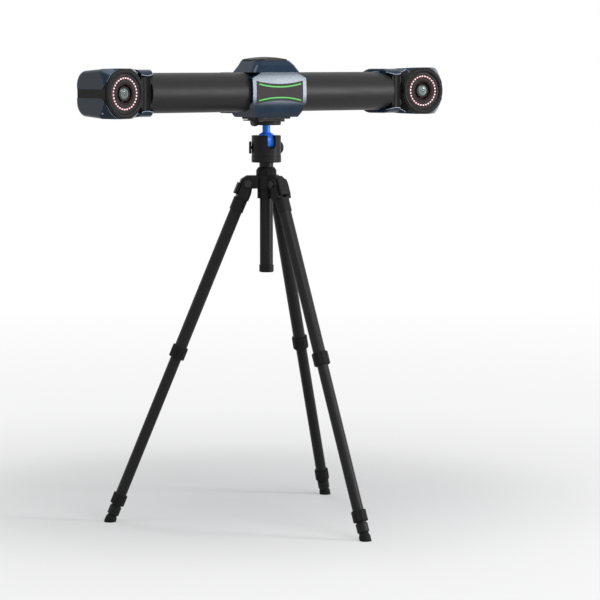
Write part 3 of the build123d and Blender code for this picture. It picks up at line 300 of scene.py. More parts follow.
def add_finish(key, name, base, roughness, grain_values, **shine):
    """Makes one finish from its colour, shine and grain, and returns its shader."""
    material, principled = shader(name, base, roughness, **shine)
    grain(material.node_tree, principled, **grain_values)
    finishes[key] = material
    return principled


def glow(principled, colour, strength):
    """Makes a finish give off light of its own."""
    principled.inputs["Emission Color"].default_value = (*colour, 1)
    principled.inputs["Emission Strength"].default_value = strength


def shade_of(colour, factor):
    """A colour made darker or lighter by a factor."""
    return tuple(min(1.0, part * factor) for part in colour)


def tones(colour, low, high):
    """A darker and a lighter tone of a colour."""
    return shade_of(colour, low), shade_of(colour, high)


def shell_finishes(colours):
    """Paint, plastic and metal of the bar and its pods."""
    slate, black, satin = tuple(colours.shell), tuple(colours.pod), tuple(colours.tube)
    paint = add_finish(
        "slate",
        "slate_gloss_paint",
        slate,
        0.14,
        dict(scale=900, bump=0.02, rough=(0.11, 0.17), tint=tones(slate, 0.92, 1.08), detail=2.0),
        coat=0.06,
        coat_roughness=0.08,
        specular=0.26,
    )
    paint.inputs["Specular Tint"].default_value = (0.8, 0.9, 1.0, 1)
    # Painted highlight: a lighter slate for the beads along the shells' front edges, standing in for the
    # light those edges catch.
    add_finish(
        "rim",
        "painted_highlight_rim",
        (0.36, 0.42, 0.52),
        0.25,
        dict(scale=1500, bump=0.02, rough=(0.2, 0.3)),
        coat=0.2,
        specular=0.4,
    )
    add_finish(
        "screw",
        "bright_screw_steel",
        (0.42, 0.45, 0.5),
        0.32,
        dict(scale=2200, bump=0.05, rough=(0.26, 0.4)),
        metallic=0.7,
    )
    add_finish(
        "pod",
        "black_pod_plastic",
        black,
        0.42,
        dict(scale=1800, bump=0.05, rough=(0.36, 0.5), tint=tones(black, 0.85, 1.15)),
        specular=0.1,
    )
    add_finish(
        "tube",
        "satin_tube_paint",
        satin,
        0.48,
        dict(scale=1500, bump=0.06, rough=(0.38, 0.48), tint=tones(satin, 0.93, 1.07), stretch=(0.3, 1, 1)),
        specular=0.2,
    )
    add_finish(
        "moulded",
        "dark_moulded_plastic",
        shade_of(black, 1.2),
        0.52,
        dict(scale=2200, bump=0.12, rough=(0.42, 0.58), tint=tones(black, 1.0, 1.5)),
        specular=0.2,
    )
    add_finish(
        "label",
        "label_plate_grey",
        (0.062, 0.054, 0.057),
        0.6,
        dict(scale=3000, bump=0.05, rough=(0.55, 0.65), tint=((0.059, 0.051, 0.055), (0.066, 0.057, 0.06))),
        specular=0.1,
    )


def light_and_lens_finishes(colours):
    """Status lights, lamps, barrels and lenses."""
    green = tuple(colours.light)
    guide = add_finish(
        "green",
        "green_light_guide",
        shade_of(green, 0.15),
        0.35,
        dict(scale=700, bump=0.02, rough=(0.25, 0.35)),
        specular=0.15,
    )
    glow(guide, green, 0.8)
    add_finish(
        "channel",
        "dark_green_channel",
        (0.002, 0.06, 0.006),
        0.45,
        dict(scale=900, bump=0.03, rough=(0.35, 0.5)),
        specular=0.15,
    )
    add_finish(
        "lamp_plate",
        "lamp_plate_black",
        (0.012, 0.0075, 0.008),
        0.48,
        dict(scale=2000, bump=0.05, rough=(0.32, 0.46), tint=((0.011, 0.007, 0.008), (0.018, 0.009, 0.01))),
        specular=0.1,
    )
    red = add_finish(
        "red", "red_lamp_glow", (0.05, 0.004, 0.006), 0.5, dict(scale=1200, bump=0.03, rough=(0.4, 0.6))
    )
    # Painted light: the red ring is no lamp, and its faint glow stands in for the lamps' light on the groove
    # floor.
    glow(red, (0.5, 0.03, 0.05), 0.12)
    lamp = add_finish(
        "lamp", "lamp_dome", (0.9, 0.72, 0.74), 0.3, dict(scale=4000, bump=0.02, rough=(0.25, 0.35))
    )
    glow(lamp, (1.0, 0.72, 0.76), 0.9)
    add_finish(
        "barrel",
        "barrel_dark_red",
        (0.02, 0.006, 0.007),
        0.5,
        dict(scale=1600, bump=0.06, rough=(0.35, 0.5), tint=((0.016, 0.005, 0.006), (0.03, 0.008, 0.009))),
        specular=0.12,
    )
    add_finish(
        "lens",
        "lens_glass",
        (0.2, 0.25, 0.25),
        0.16,
        dict(scale=300, bump=0.0, rough=(0.13, 0.2), tint=((0.15, 0.19, 0.185), (0.26, 0.3, 0.31))),
        metallic=0.3,
        coat=0.3,
        coat_roughness=0.1,
    )
    add_finish(
        "lens_inner",
        "lens_inner_glass",
        (0.05, 0.06, 0.065),
        0.12,
        dict(scale=400, bump=0.0, rough=(0.08, 0.16)),
        metallic=0.5,
        coat=1.0,
        coat_roughness=0.03,
    )
    add_finish(
        "teal",
        "teal_coated_ring",
        (0.02, 0.075, 0.06),
        0.25,
        dict(scale=900, bump=0.03, rough=(0.2, 0.32)),
        coat=0.6,
    )


def stand_finishes(colours):
    """Metal, rubber and plastic of the stand and its head, and the boards."""
    stand, blue = tuple(colours.stand), tuple(colours.ball)
    for key, name, base, roughness, scale, bump, rough, tint, specular in (
        ("plate", "black_anodised_plate", 0.8, 0.46, 2600, 0.08, (0.36, 0.5), (0.7, 0.9), 0.14),
        ("cast", "black_cast_metal", 0.8, 0.5, 1400, 0.16, (0.4, 0.55), (0.65, 0.95), 0.14),
        ("leg_tube", "black_leg_tube", 0.75, 0.4, 1800, 0.04, (0.34, 0.44), (0.68, 0.82), 0.18),
        ("rubber", "grip_rubber", 0.7, 0.66, 2400, 0.25, (0.55, 0.72), (0.55, 0.85), 0.12),
        ("stand_plastic", "stand_plastic", 0.75, 0.5, 2000, 0.1, (0.38, 0.54), (0.65, 0.85), 0.14),
    ):
        grain_values = dict(scale=scale, bump=bump, rough=rough, tint=tones(stand, *tint))
        add_finish(key, name, shade_of(stand, base), roughness, grain_values, specular=specular)
    add_finish(
        "blue",
        "blue_anodised_ball",
        blue,
        0.34,
        dict(scale=1200, bump=0.02, rough=(0.22, 0.32), tint=tones(blue, 0.95, 1.05)),
        metallic=0.15,
        specular=0.2,
    )
    add_finish(
        "steel",
        "dark_screw_steel",
        (0.03, 0.03, 0.032),
        0.34,
        dict(scale=2200, bump=0.08, rough=(0.26, 0.4)),
        metallic=0.8,
    )
    add_finish(
        "board",
        "circuit_board_green",
        (0.01, 0.06, 0.025),
        0.4,
        dict(scale=500, bump=0.05, rough=(0.35, 0.5), tint=((0.008, 0.05, 0.02), (0.014, 0.08, 0.032))),
    )


# Sizes and colours that a user would change
def length_setting(name, description, default):
    """A length property."""
    return bpy.props.FloatProperty(name=name, description=description, default=default, unit="LENGTH")


def colour_setting(name, description, default):
    """A colour property."""
    return bpy.props.FloatVectorProperty(name=name, description=description, default=default, subtype="COLOR")


class CameraPodSizes(bpy.types.PropertyGroup):
    """Sizes of the two camera pods' fittings."""

    offset: length_setting("Camera offset", "Distance of each camera from the middle", 0.491)
    forward: length_setting("Camera forward", "Distance of the front plane from the bar's axis", 0.0635)
    toe_in: bpy.props.FloatProperty(
        name="Toe-in",
        description="Angle at which each camera is turned inward",
        default=math.radians(8.49),
        subtype="ANGLE",
    )
    bezel_outer: length_setting("Bezel outer radius", "Outer radius of the bezel ring", 0.061)
    bezel_inner: length_setting("Bezel inner radius", "Inner radius of the bezel ring", 0.05)
    bezel_stand: length_setting("Bezel stand", "How far the bezel stands out of the pod", 0.0015)
    lamp_ring: length_setting("Lamp ring radius", "Radius of the ring of infrared lamps", 0.0396)
    lamp_radius: length_setting("Lamp radius", "Radius of one infrared lamp", 0.0019)
    lamp_count: bpy.props.IntProperty(
        name="Lamps", description="Number of lamps in a ring", default=30, min=6
    )
    barrel: length_setting("Barrel radius", "Outer radius of the lens barrel", 0.0265)
    lens: length_setting("Lens radius", "Radius of the front lens", 0.0155)
    lens_cell: length_setting("Lens cell radius", "Outer radius of the cell that holds the lens", 0.019)
    lens_depth: length_setting("Lens depth", "Depth of the lens rim behind the front plane", 0.0055)


class StandSizes(bpy.types.PropertyGroup):
    """Sizes of the stand's finished edges."""

    edge: length_setting("Cast edge", "Width of the softened edges of cast pieces", 0.0007)
    grip_rim: length_setting("Grip rim", "Rim left round each grip panel", 0.0016)
    grip_depth: length_setting("Grip depth", "Depth of each grip panel", 0.0005)


class ScannerColours(bpy.types.PropertyGroup):
    """Colours of the painted and anodised pieces."""

    shell: colour_setting("Shell paint", "Gloss paint of the shells", (0.004, 0.02, 0.046))
    pod: colour_setting("Pod black", "Black plastic of the pods", (0.011, 0.0105, 0.011))
    tube: colour_setting("Tube paint", "Satin paint of the bar's tube", (0.022, 0.021, 0.0215))
    stand: colour_setting("Stand black", "Black of the tripod and head", (0.016, 0.016, 0.0165))
    ball: colour_setting("Ball blue", "Anodised blue of the ball and its stem", (0.035, 0.22, 1.0))
    light: colour_setting("Light green", "Green of the two status lights", (0.13, 0.68, 0.14))


# Operators, one for each group of pieces
class SCANNER_OT_finishes(bpy.types.Operator):
    """Make the finishes"""

    bl_idname = "scanner.finishes"
    bl_label = "Make finishes"

    def execute(self, context):
        colours = context.scene.scanner_colours
        shell_finishes(colours)
        light_and_lens_finishes(colours)
        stand_finishes(colours)
        return {"FINISHED"}


class SCANNER_OT_leg_tubes(bpy.types.Operator):
    """Finish the tubes of the three legs"""

    bl_idname = "scanner.leg_tubes"
    bl_label = "Leg tubes"

    def execute(self, context):
        for leg in legs:
            for part, bevel in (("upper", 0.0002), ("middle", 0.0002), ("lower", 0.0003)):
                dress(f"{leg}_{part}_tube", f"{leg}_{part}_leg_tube", "leg_tube", bevel=bevel)
        return {"FINISHED"}


class SCANNER_OT_leg_castings(bpy.types.Operator):
    """Finish the crown, the forked castings, the angle latches and the pivot bolts"""

    bl_idname = "scanner.leg_castings"
    bl_label = "Crown and leg castings"

    def execute(self, context):
        edge = context.scene.stand_sizes.edge
        dress("crown", "crown_casting", "cast", bevel=edge, steps=3)
        for leg in legs:
            dress(f"{leg}_leg_top", f"{leg}_leg_casting", "cast", bevel=edge, steps=3)
            dress(f"{leg}_angle_latch", f"{leg}_latch_plate", "stand_plastic", bevel=edge, steps=3)
        dress("leg_pivot_bolts", "pivot_bolts", "steel", bevel=0.0006, steps=3)
        return {"FINISHED"}


def grip_panels(is_grip):
    """Returns a change that sinks a panel into each flat grip face of a ring."""

    def change(bm):
        sizes = bpy.context.scene.stand_sizes
        faces = [face for face in bm.faces if is_grip(face)]
        bmesh.ops.inset_individual(
            bm, faces=faces, thickness=sizes.grip_rim, depth=-sizes.grip_depth, use_even_offset=True
        )

    return change


class SCANNER_OT_twist_locks(bpy.types.Operator):
    """Finish the twist locks and the column's collar, with their grip panels"""

    bl_idname = "scanner.twist_locks"
    bl_label = "Twist locks"

    def execute(self, context):
        for leg in legs:
            pivot, down = leg_axis(leg)

            def outward(face, pivot=pivot, down=down):
                spoke = face.calc_center_median() - pivot
                spoke -= down * spoke.dot(down)
                faces_out = abs(face.normal.dot(down)) < SIDE_FACE_TILT and face.normal.dot(spoke) > 0
                return faces_out and face.calc_area() > LOCK_FACE_AREA

            for part in ("upper", "lower"):
                name = f"{leg}_{part}_twist_lock"
                dress(f"{leg}_{part}_lock", name, "rubber", bevel=0.0006, change=grip_panels(outward))

        def upright(face):
            spoke = face.calc_center_median().xy
            faces_out = abs(face.normal.z) < SIDE_FACE_TILT and face.normal.xy.dot(spoke) > 0
            return faces_out and face.calc_area() > COLLAR_FACE_AREA

        dress("column_collar", "collar_ring", "rubber", bevel=0.0006, change=grip_panels(upright))
        return {"FINISHED"}


class SCANNER_OT_feet(bpy.types.Operator):
    """Finish the rubber feet"""

    bl_idname = "scanner.feet"
    bl_label = "Rubber feet"

    def execute(self, context):
        for leg in legs:
            dress(f"{leg}_foot", f"{leg}_rubber_foot", "rubber", bevel=0.0005, steps=3)
        return {"FINISHED"}


class SCANNER_OT_column(bpy.types.Operator):
    """Finish the centre column, its cap and the pan base"""

    bl_idname = "scanner.column"
    bl_label = "Centre column"

    def execute(self, context):
        dress("centre_column", "column_tube", "leg_tube", bevel=0.0005)
        dress("column_cap", "column_end_cap", "stand_plastic", bevel=0.0006)
        dress("pan_base", "pan_disc", "plate", bevel=0.0005, steps=3)
        return {"FINISHED"}


class SCANNER_OT_ball_head(bpy.types.Operator):
    """Finish the head housing, the ball, its cup and the two knobs"""

    bl_idname = "scanner.ball_head"
    bl_label = "Ball head"

    def execute(self, context):
        dress("head_housing", "head_case", "plate", bevel=0.0006, steps=3)
        dress("ball_cup", "cup_ring", "stand_plastic", bevel=0.0003)
        dress("ball_stem", "blue_ball", "blue", bevel=0.0004)
        dress("ball_lock_knob", "ball_knob", "stand_plastic", bevel=0.0005)
        dress("pan_lock_knob", "pan_knob", "stand_plastic", bevel=0.0005)
        return {"FINISHED"}


class SCANNER_OT_clamp(bpy.types.Operator):
    """Finish the clamp, its jaw and knob, the quick-release plate and the base plate"""

    bl_idname = "scanner.clamp"
    bl_label = "Quick-release clamp"

    def execute(self, context):
        dress("clamp_body", "clamp_platform", "plate", bevel=0.0004)
        dress("clamp_jaw", "moving_jaw", "plate", bevel=0.0004)
        dress("clamp_knob", "jaw_knob", "stand_plastic", bevel=0.0004)
        dress("quick_release_plate", "dovetail_plate", "plate", bevel=0.0003)
        dress("base_plate", "mounting_plate", "plate", bevel=0.0008, steps=3)
        return {"FINISHED"}


class SCANNER_OT_bar(bpy.types.Operator):
    """Finish the tube and the centre block"""

    bl_idname = "scanner.bar"
    bl_label = "Tube and centre block"

    def execute(self, context):
        dress("bar_tube", "bar_main_tube", "tube", bevel=0.0003)
        dress("front_shell", "front_block_shell", "slate", bevel=0.0022, steps=4, angle=20)
        dress("rear_shell", "rear_block_shell", "slate", bevel=0.0022, steps=4, angle=20)
        dress("top_housing", "roof_shell", "slate", bevel=0.0016, steps=4, angle=18)
        dress("top_cap", "roof_cap", "moulded", bevel=0.0004)
        dress("connector_box", "rear_box", "moulded", bevel=0.0006, steps=3)
        dress("label_plate", "front_label", "label", bevel=0.0002)
        dress("status_lights", "green_light_strips", "green", bevel=0.0005, steps=3)

        channels = from_node("status_lights")
        level = bar_height()
        for vert in channels.verts:
            side = 1 if vert.co.z > level else -1
            vert.co += Vector((-CHANNEL_NARROWING * vert.co.x, CHANNEL_BACK, side * CHANNEL_SHIFT))
        finish_piece(channels, "dark_green_channels", "channel", node_body["status_lights"])
        return {"FINISHED"}


def is_front_cut(edge, look, level):
    """Whether an edge lies between a shell's front skin and its cut wall toward the bar's axis."""
    if len(edge.link_faces) != 2 or edge.calc_face_angle() < RIM_CORNER:
        return False
    height = (edge.verts[0].co.z + edge.verts[1].co.z) / 2 - level
    first, second = edge.link_faces
    return any(
        abs(wall.normal.dot(look)) < RIM_WALL
        and -wall.normal.z * math.copysign(1, height) > RIM_WALL
        and skin.normal.dot(look) > RIM_SKIN
        for wall, skin in ((first, second), (second, first))
    )


def shell_rims(node, side):
    """A thin bead along the front cut edges of a pod shell, finished lighter than the shell as a painted
    highlight.
    """
    _, look = pod_axis(side)
    level = bar_height()
    bm = from_node(node)
    lines = bmesh.new()
    for edge in bm.edges:
        if is_front_cut(edge, look, level):
            lines.edges.new([lines.verts.new(vert.co) for vert in edge.verts])
    bm.free()
    bmesh.ops.remove_doubles(lines, verts=lines.verts[:], dist=RIM_MERGE)
    mesh = bpy.data.meshes.new("rim_lines")
    lines.to_mesh(mesh)
    lines.free()
    path = bpy.data.objects.new("rim_lines", mesh)
    bpy.context.scene.collection.objects.link(path)
    for other in bpy.context.selected_objects:
        other.select_set(False)
    path.select_set(True)
    bpy.context.view_layer.objects.active = path
    bpy.ops.object.convert(target="CURVE")
    path = bpy.context.view_layer.objects.active
    path.data.bevel_depth = RIM_WIDTH / 2
    path.data.bevel_resolution = 1
    path.data.use_fill_caps = True
    bpy.ops.object.convert(target="MESH")
    path = bpy.context.view_layer.objects.active
    bead = bmesh.new()
    bead.from_mesh(path.data)
    bpy.data.objects.remove(path)
    return bead


class SCANNER_OT_pods(bpy.types.Operator):
    """Finish the cores and the painted shells of the pods"""

    bl_idname = "scanner.pods"
    bl_label = "Camera pods"

    def execute(self, context):
        for side, sign in sides:
            body = node_body[f"{side}_pod_core"]
            dress(f"{side}_pod_core", f"{side}_pod_black_core", "pod", bevel=0.0008, steps=3)
            for half in ("upper", "lower"):
                dress(f"{side}_pod_{half}_shell", f"{side}_{half}_paint_shell", "slate", bevel=0.0014)
            for half in ("upper", "lower"):
                rims = shell_rims(f"{side}_pod_{half}_shell", sign)
                # The beads take the lighter rim finish, a painted highlight along the shell edges.
                finish_piece(rims, f"{side}_{half}_shell_highlight_rim", "rim", body)

            centre, look = pod_axis(sign)
            outward = Vector((-look.y * sign, look.x * sign, 0))
            spoke = (outward * SCREW_OUT - Vector((0, 0, SCREW_DOWN))).normalized()
            spot = centre + outward * SCREW_OUT - Vector((0, 0, SCREW_DOWN)) - look * SCREW_BACK
            screw = bmesh.new()
            turned(screw, SCREW_SECTION, SCREW_SEGMENTS, closed=False)
            place(screw, spot, (spoke * SCREW_SPOKE + look * SCREW_LOOK).normalized())
            finish_piece(screw, f"{side}_shell_screw", "screw", body)
        return {"FINISHED"}


# Sections of the cameras' pieces, as (radius, height) points about the camera's axis
def bezel_section(sizes):
    """Ring round the camera."""
    outer, inner, stand = sizes.bezel_outer, sizes.bezel_inner, sizes.bezel_stand
    return [
        (outer, RING_BACK),
        (outer, stand - 0.0014),
        (outer - 0.0005, stand - 0.0005),
        (outer - 0.0015, stand),
        (outer - 0.0045, stand),
        (inner + 0.003, stand - 0.0006),
        (inner + 0.0008, stand - 0.0014),
        (inner, stand - 0.0024),
        (inner, RING_BACK),
    ]


def lamp_plate_section(sizes):
    """Plate between the bezel and the barrel, with a groove for the lamps."""
    inner, ring, barrel = sizes.bezel_inner, sizes.lamp_ring, sizes.barrel
    return [
        (inner, RING_BACK),
        (inner, -0.0012),
        (ring + 0.0042, -0.001),
        (ring + 0.003, LAMP_FLOOR),
        (ring - 0.003, LAMP_FLOOR),
        (ring - 0.0042, -0.001),
        (barrel + 0.0016, -0.0011),
        (barrel, -0.0024),
        (barrel, RING_BACK),
    ]


def lamp_channel_section(sizes):
    """Thin red ring on the floor of the lamps' groove; its finish glows faintly as painted light."""
    ring = sizes.lamp_ring
    return [
        (ring + 0.0029, LAMP_FLOOR),
        (ring + 0.0026, -0.0019),
        (ring - 0.0026, -0.0019),
        (ring - 0.0029, LAMP_FLOOR),
    ]


def lamp_section(sizes):
    """One infrared lamp."""
    radius = sizes.lamp_radius
    return [
        (0, -0.002),
        (radius, -0.002),
        (radius, -0.0009),
        (radius * 0.8, -0.0002),
        (radius * 0.45, 0.0002),
        (0, 0.0002),
    ]


def barrel_section(sizes):
    """Stepped lens barrel with the cell that holds the lens."""
    rim, lens, cell = sizes.barrel, sizes.lens, sizes.lens_cell
    return [
        (rim, BARREL_END),
        (rim, -0.0026),
        (rim - 0.0006, -0.002),
        (rim - 0.0018, -0.002),
        (rim - 0.0025, -0.0028),
        (rim - 0.0028, -0.0072),
        (rim - 0.0036, -0.0076),
        (rim - 0.004, -0.0124),
        (rim - 0.0046, -0.013),
        (cell + 0.0006, -0.013),
        (cell, -0.0124),
        (cell, -0.0047),
        (cell - 0.0007, -0.004),
        (lens + 0.0011, -0.004),
        (lens + 0.0003, -0.0045),
        (lens, -0.0054),
        (lens, -sizes.lens_depth - 0.006),
        (lens, BARREL_END),
    ]


def coating_section(sizes):
    """Coated ring round the front lens."""
    lens, depth = sizes.lens, sizes.lens_depth
    return [
        (lens - 0.0001, -depth - 0.002),
        (lens - 0.0001, -depth + 0.0004),
        (lens * 0.9, -depth + 0.0016),
        (lens * 0.78, -depth + LENS_RIM),
        (lens * LENS_SHARE, -depth + LENS_RIM),
        (lens * LENS_SHARE, -depth - 0.002),
    ]


def lens_section(sizes):
    """Front lens, open in the middle for its pupil."""
    lens, depth = sizes.lens, sizes.lens_depth
    edge, pupil = lens * LENS_SHARE, lens * PUPIL_SHARE
    bulge = [(edge * i / 12, -depth + LENS_RIM + LENS_BULGE * (1 - (i / 12) ** 2)) for i in range(12, 5, -1)]
    inside = [(pupil, -depth + 0.003), (pupil, -depth - GLASS_BACK)]
    return [(edge, -depth - GLASS_BACK)] + bulge + inside


def pupil_section(sizes):
    """Dark middle of the front lens."""
    pupil, depth = sizes.lens * PUPIL_SHARE, sizes.lens_depth
    bulge = [(pupil * i / 6, -depth + LENS_RIM + PUPIL_BULGE * (1 - (i / 6) ** 2)) for i in range(6, -1, -1)]
    return [(pupil, -depth - GLASS_BACK)] + bulge + [(0, -depth - GLASS_BACK)]


def lamp_spots(sizes):
    """Middles of the lamps in the front plane, about the camera's axis."""
    turns = [2 * math.pi * count / sizes.lamp_count for count in range(sizes.lamp_count)]
    return [Vector((math.cos(turn), math.sin(turn), 0)) * sizes.lamp_ring for turn in turns]


def both_cameras(section, segments=ROUND_SEGMENTS, closed=True, spots=(Vector(),)):
    """A section turned about each camera's axis, or about spots round it."""
    pair = bmesh.new()
    for _, side in sides:
        centre, look = pod_axis(side)
        for spot in spots:
            part = bmesh.new()
            turned(part, section, segments, closed)
            bmesh.ops.translate(part, vec=spot, verts=part.verts[:])
            place(part, centre, look)
            join(pair, part)
    return pair


class SCANNER_OT_cameras(bpy.types.Operator):
    """Build the bezels, lamp rings, barrels and lenses"""

    bl_idname = "scanner.cameras"
    bl_label = "Cameras"

    def execute(self, context):
        sizes = context.scene.camera_pod
        body = node_body["camera_bezels"]
        rings = both_cameras(bezel_section(sizes))
        finish_piece(rings, "camera_bezel_rings", "pod", body, ("camera_bezels",))
        plates = both_cameras(lamp_plate_section(sizes))
        finish_piece(plates, "lamp_plates", "lamp_plate", body, ("led_plates",))
        grooves = both_cameras(lamp_channel_section(sizes))
        # The ring's faint red glow is painted light.
        finish_piece(grooves, "lamp_channels", "red", body)
        lamps = both_cameras(lamp_section(sizes), LAMP_SEGMENTS, closed=False, spots=lamp_spots(sizes))
        finish_piece(lamps, "lamp_domes", "lamp", body, ("infrared_leds",), sharp=60)
        barrels = both_cameras(barrel_section(sizes))
        finish_piece(barrels, "lens_tubes", "barrel", body, ("lens_barrels",))
        coatings = both_cameras(coating_section(sizes))
        finish_piece(coatings, "lens_coating_rings", "teal", body)
        lenses = both_cameras(lens_section(sizes))
        finish_piece(lenses, "front_lenses", "lens", body, ("lens_glasses",))
        pupils = both_cameras(pupil_section(sizes), PUPIL_SEGMENTS, closed=False)
        finish_piece(pupils, "lens_pupils", "lens_inner", body)
        dress("circuit_boards", "boards", "board", bevel=0.0002)
        return {"FINISHED"}


class SCANNER_OT_stage(bpy.types.Operator):
    """Set the floor, the lights and the camera"""

    bl_idname = "scanner.stage"
    bl_label = "Floor, lights and camera"

    def execute(self, context):
        scene = context.scene
        scene.view_settings.view_transform = "Standard"

        bm = bmesh.new()
        bmesh.ops.create_circle(bm, cap_ends=True, segments=ROUND_SEGMENTS, radius=FLOOR_RADIUS)
        mesh = bpy.data.meshes.new("studio_floor")
        bm.to_mesh(mesh)
        bm.free()
        floor = bpy.data.objects.new("studio_floor", mesh)
        scene.collection.objects.link(floor)
        mesh.materials.append(floor_finish())

        scene.world = studio_world()
        soft_light("key_softbox", (0.62, -0.79, 0.1), 3.6, (0.9, 2.2), 82, soft=True)
        soft_light("front_softbox", (-0.05, -0.82, 0.57), 3.6, (1.6, 1.2), 40)
        soft_light("back_softbox", (0.1, 0.9, 0.9), 3.2, (1.0, 0.8), 20)
        soft_light("top_softbox", (-0.25, -0.1, 1.0), 3.2, (1.6, 1.4), 30)
        soft_light("left_softbox", (-1.0, -0.15, 0.3), 3.6, (1.2, 1.8), 2)
        scene.camera = photo_camera()
        return {"FINISHED"}


def studio_world():
    """White for what the camera sees, and a weaker cool fill for the light that falls on things."""
    world = bpy.data.worlds.new("studio")
    world.use_nodes = True
    tree = world.node_tree
    tree.nodes.clear()
    out = new_node(tree, "ShaderNodeOutputWorld")
    mix = new_node(tree, "ShaderNodeMixShader")
    fill = new_node(tree, "ShaderNodeBackground", {"Color": (*FILL_COLOUR, 1), "Strength": FILL_STRENGTH})
    white = new_node(tree, "ShaderNodeBackground", {"Color": (1, 1, 1, 1), "Strength": 1.0})
    tree.links.new(shown_rays(tree), mix.inputs["Fac"])
    tree.links.new(fill.outputs[0], mix.inputs[1])
    tree.links.new(white.outputs[0], mix.inputs[2])
    tree.links.new(mix.outputs[0], out.inputs["Surface"])
    return world


def soft_light(name, direction, distance, size, power, soft=False):
    """A rectangular light that faces the bar; a soft one fades toward its edges."""
    lamp = bpy.data.lights.new(name, "AREA")
    lamp.shape = "RECTANGLE"
    lamp.size, lamp.size_y = size
    lamp.energy = power
    if soft:
        fade_edges(lamp)
    holder = bpy.data.objects.new(name, lamp)
    bpy.context.scene.collection.objects.link(holder)
    holder.location = LIGHT_AIM + Vector(direction) * distance
    holder.rotation_euler = (LIGHT_AIM - holder.location).to_track_quat("-Z", "Y").to_euler()


def fade_edges(lamp):
    """Lets a soft light fade toward its edges, so that its reflection has no hard border."""
    lamp.use_nodes = True
    tree = lamp.node_tree
    surface = new_node(tree, "ShaderNodeNewGeometry")
    across = new_node(tree, "ShaderNodeSeparateXYZ")
    tree.links.new(surface.outputs["Parametric"], across.inputs[0])
    both = new_node(tree, "ShaderNodeMath")
    both.operation = "MULTIPLY"
    for index, axis in enumerate(("X", "Y")):
        wave = new_node(tree, "ShaderNodeMath", {1: 0.5})
        wave.operation = "PINGPONG"
        rise = new_node(tree, "ShaderNodeMapRange", {"From Max": SOFT_EDGE, "To Max": SOFT_GAIN})
        rise.interpolation_type = "SMOOTHSTEP"
        tree.links.new(across.outputs[axis], wave.inputs[0])
        tree.links.new(wave.outputs[0], rise.inputs["Value"])
        tree.links.new(rise.outputs["Result"], both.inputs[index])
    tree.links.new(both.outputs[0], tree.nodes["Emission"].inputs["Strength"])


def floor_finish():
    """Pale floor that keeps the shadows near the stand and fades to white far from it; the fade is painted
    light, a white glow mixed in more strongly with distance from the stand.
    """
    material = bpy.data.materials.new("pale_floor")
    material.use_nodes = True
    tree = material.node_tree
    tree.nodes.clear()
    out = new_node(tree, "ShaderNodeOutputMaterial")
    seen = new_node(tree, "ShaderNodeMixShader")
    mix = new_node(tree, "ShaderNodeMixShader")
    bounce = new_node(tree, "ShaderNodeBsdfDiffuse", {"Color": (*FLOOR_BOUNCE, 1)})
    near = new_node(tree, "ShaderNodeBsdfDiffuse", {"Color": (*FLOOR_NEAR, 1)})
    # Painted light: the white glow that the floor is given away from the stand.
    far = new_node(tree, "ShaderNodeEmission", {"Color": (1, 1, 1, 1)})
    coordinates = new_node(tree, "ShaderNodeTexCoord")
    centre = new_node(tree, "ShaderNodeMapping", {"Location": (-FLOOR_CENTRE[0], -FLOOR_CENTRE[1], 0)})
    reach = new_node(tree, "ShaderNodeVectorMath")
    reach.operation = "LENGTH"
    share = new_node(tree, "ShaderNodeMath", {1: FADE_REACH})
    share.operation = "DIVIDE"
    fade = new_node(tree, "ShaderNodeValToRGB")
    ramp = fade.color_ramp
    ramp.interpolation = "B_SPLINE"
    ramp.elements[0].position = FADE[0][0] / FADE_REACH
    ramp.elements[1].position = FADE[-1][0] / FADE_REACH
    for radius, _ in FADE[1:-1]:
        ramp.elements.new(radius / FADE_REACH)
    for element, (_, white) in zip(ramp.elements, FADE):
        element.color = (white, white, white, 1)
    tree.links.new(coordinates.outputs["Object"], centre.inputs["Vector"])
    tree.links.new(centre.outputs["Vector"], reach.inputs[0])
    tree.links.new(reach.outputs["Value"], share.inputs[0])
    tree.links.new(share.outputs[0], fade.inputs["Fac"])
    tree.links.new(fade.outputs["Color"], mix.inputs["Fac"])
    tree.links.new(near.outputs[0], mix.inputs[1])
    tree.links.new(far.outputs[0], mix.inputs[2])
    tree.links.new(shown_rays(tree), seen.inputs["Fac"])
    tree.links.new(bounce.outputs[0], seen.inputs[1])
    tree.links.new(mix.outputs[0], seen.inputs[2])
    tree.links.new(seen.outputs[0], out.inputs["Surface"])
    return material


def shown_rays(tree):
    """Output that is 1 for what the camera, gloss and glass see, and 0 for light that falls on things."""
    path = new_node(tree, "ShaderNodeLightPath")
    shown = path.outputs["Is Camera Ray"]
    for kind in ("Is Glossy Ray", "Is Transmission Ray"):
        either = new_node(tree, "ShaderNodeMath")
        either.operation = "MAXIMUM"
        tree.links.new(shown, either.inputs[0])
        tree.links.new(path.outputs[kind], either.inputs[1])
        shown = either.outputs[0]
    return shown


def photo_camera():
    """Camera at the place, and with the lens, that fit the photograph."""
    camera = bpy.data.cameras.new("photo_camera")
    camera.sensor_width = SENSOR_WIDTH
    camera.lens = LENS_LENGTH
    camera.clip_end = CAMERA_REACH
    eye = bpy.data.objects.new("photo_camera", camera)
    bpy.context.scene.collection.objects.link(eye)
    ahead = Vector((math.sin(CAMERA_BEARING), math.cos(CAMERA_BEARING), 0))
    right = Vector((math.cos(CAMERA_BEARING), -math.sin(CAMERA_BEARING), 0))
    level = ahead * math.cos(CAMERA_YAW) + right * math.sin(CAMERA_YAW)
    line = level * math.cos(CAMERA_PITCH) + Vector((0, 0, -math.sin(CAMERA_PITCH)))
    eye.location = CAMERA_PLACE
    eye.rotation_euler = line.to_track_quat("-Z", "Y").to_euler()
    return eye


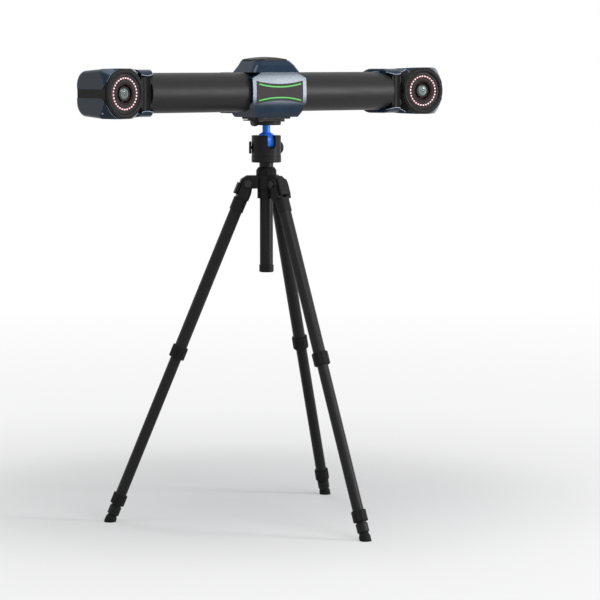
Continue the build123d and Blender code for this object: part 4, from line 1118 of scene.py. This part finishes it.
class SCANNER_PT_panel(bpy.types.Panel):
    """Lists the steps that dress the scanner"""

    bl_label = "Tracking scanner"
    bl_idname = "SCANNER_PT_panel"
    bl_space_type = "VIEW_3D"
    bl_region_type = "UI"
    bl_category = "Scanner"

    def draw(self, context):
        for step in steps:
            self.layout.operator(step.bl_idname)
        for group in (context.scene.camera_pod, context.scene.stand_sizes, context.scene.scanner_colours):
            for name in group.bl_rna.properties.keys():
                if name not in ("rna_type", "name"):
                    self.layout.prop(group, name)


steps = (
    SCANNER_OT_finishes,
    SCANNER_OT_leg_tubes,
    SCANNER_OT_leg_castings,
    SCANNER_OT_twist_locks,
    SCANNER_OT_feet,
    SCANNER_OT_column,
    SCANNER_OT_ball_head,
    SCANNER_OT_clamp,
    SCANNER_OT_bar,
    SCANNER_OT_pods,
    SCANNER_OT_cameras,
    SCANNER_OT_stage,
)
groups = (CameraPodSizes, StandSizes, ScannerColours)


def register():
    for group in groups:
        bpy.utils.register_class(group)
    for step in steps:
        bpy.utils.register_class(step)
    bpy.utils.register_class(SCANNER_PT_panel)
    bpy.types.Scene.camera_pod = bpy.props.PointerProperty(type=CameraPodSizes)
    bpy.types.Scene.stand_sizes = bpy.props.PointerProperty(type=StandSizes)
    bpy.types.Scene.scanner_colours = bpy.props.PointerProperty(type=ScannerColours)


def unregister():
    del bpy.types.Scene.scanner_colours
    del bpy.types.Scene.stand_sizes
    del bpy.types.Scene.camera_pod
    bpy.utils.unregister_class(SCANNER_PT_panel)
    for step in reversed(steps):
        bpy.utils.unregister_class(step)
    for group in reversed(groups):
        bpy.utils.unregister_class(group)


def main():
    register()
    bpy.ops.scanner.finishes()
    bpy.ops.scanner.leg_tubes()
    bpy.ops.scanner.leg_castings()
    bpy.ops.scanner.twist_locks()
    bpy.ops.scanner.feet()
    bpy.ops.scanner.column()
    bpy.ops.scanner.ball_head()
    bpy.ops.scanner.clamp()
    bpy.ops.scanner.bar()
    bpy.ops.scanner.pods()
    bpy.ops.scanner.cameras()
    bpy.ops.scanner.stage()


if __name__ == "__main__":
    main()
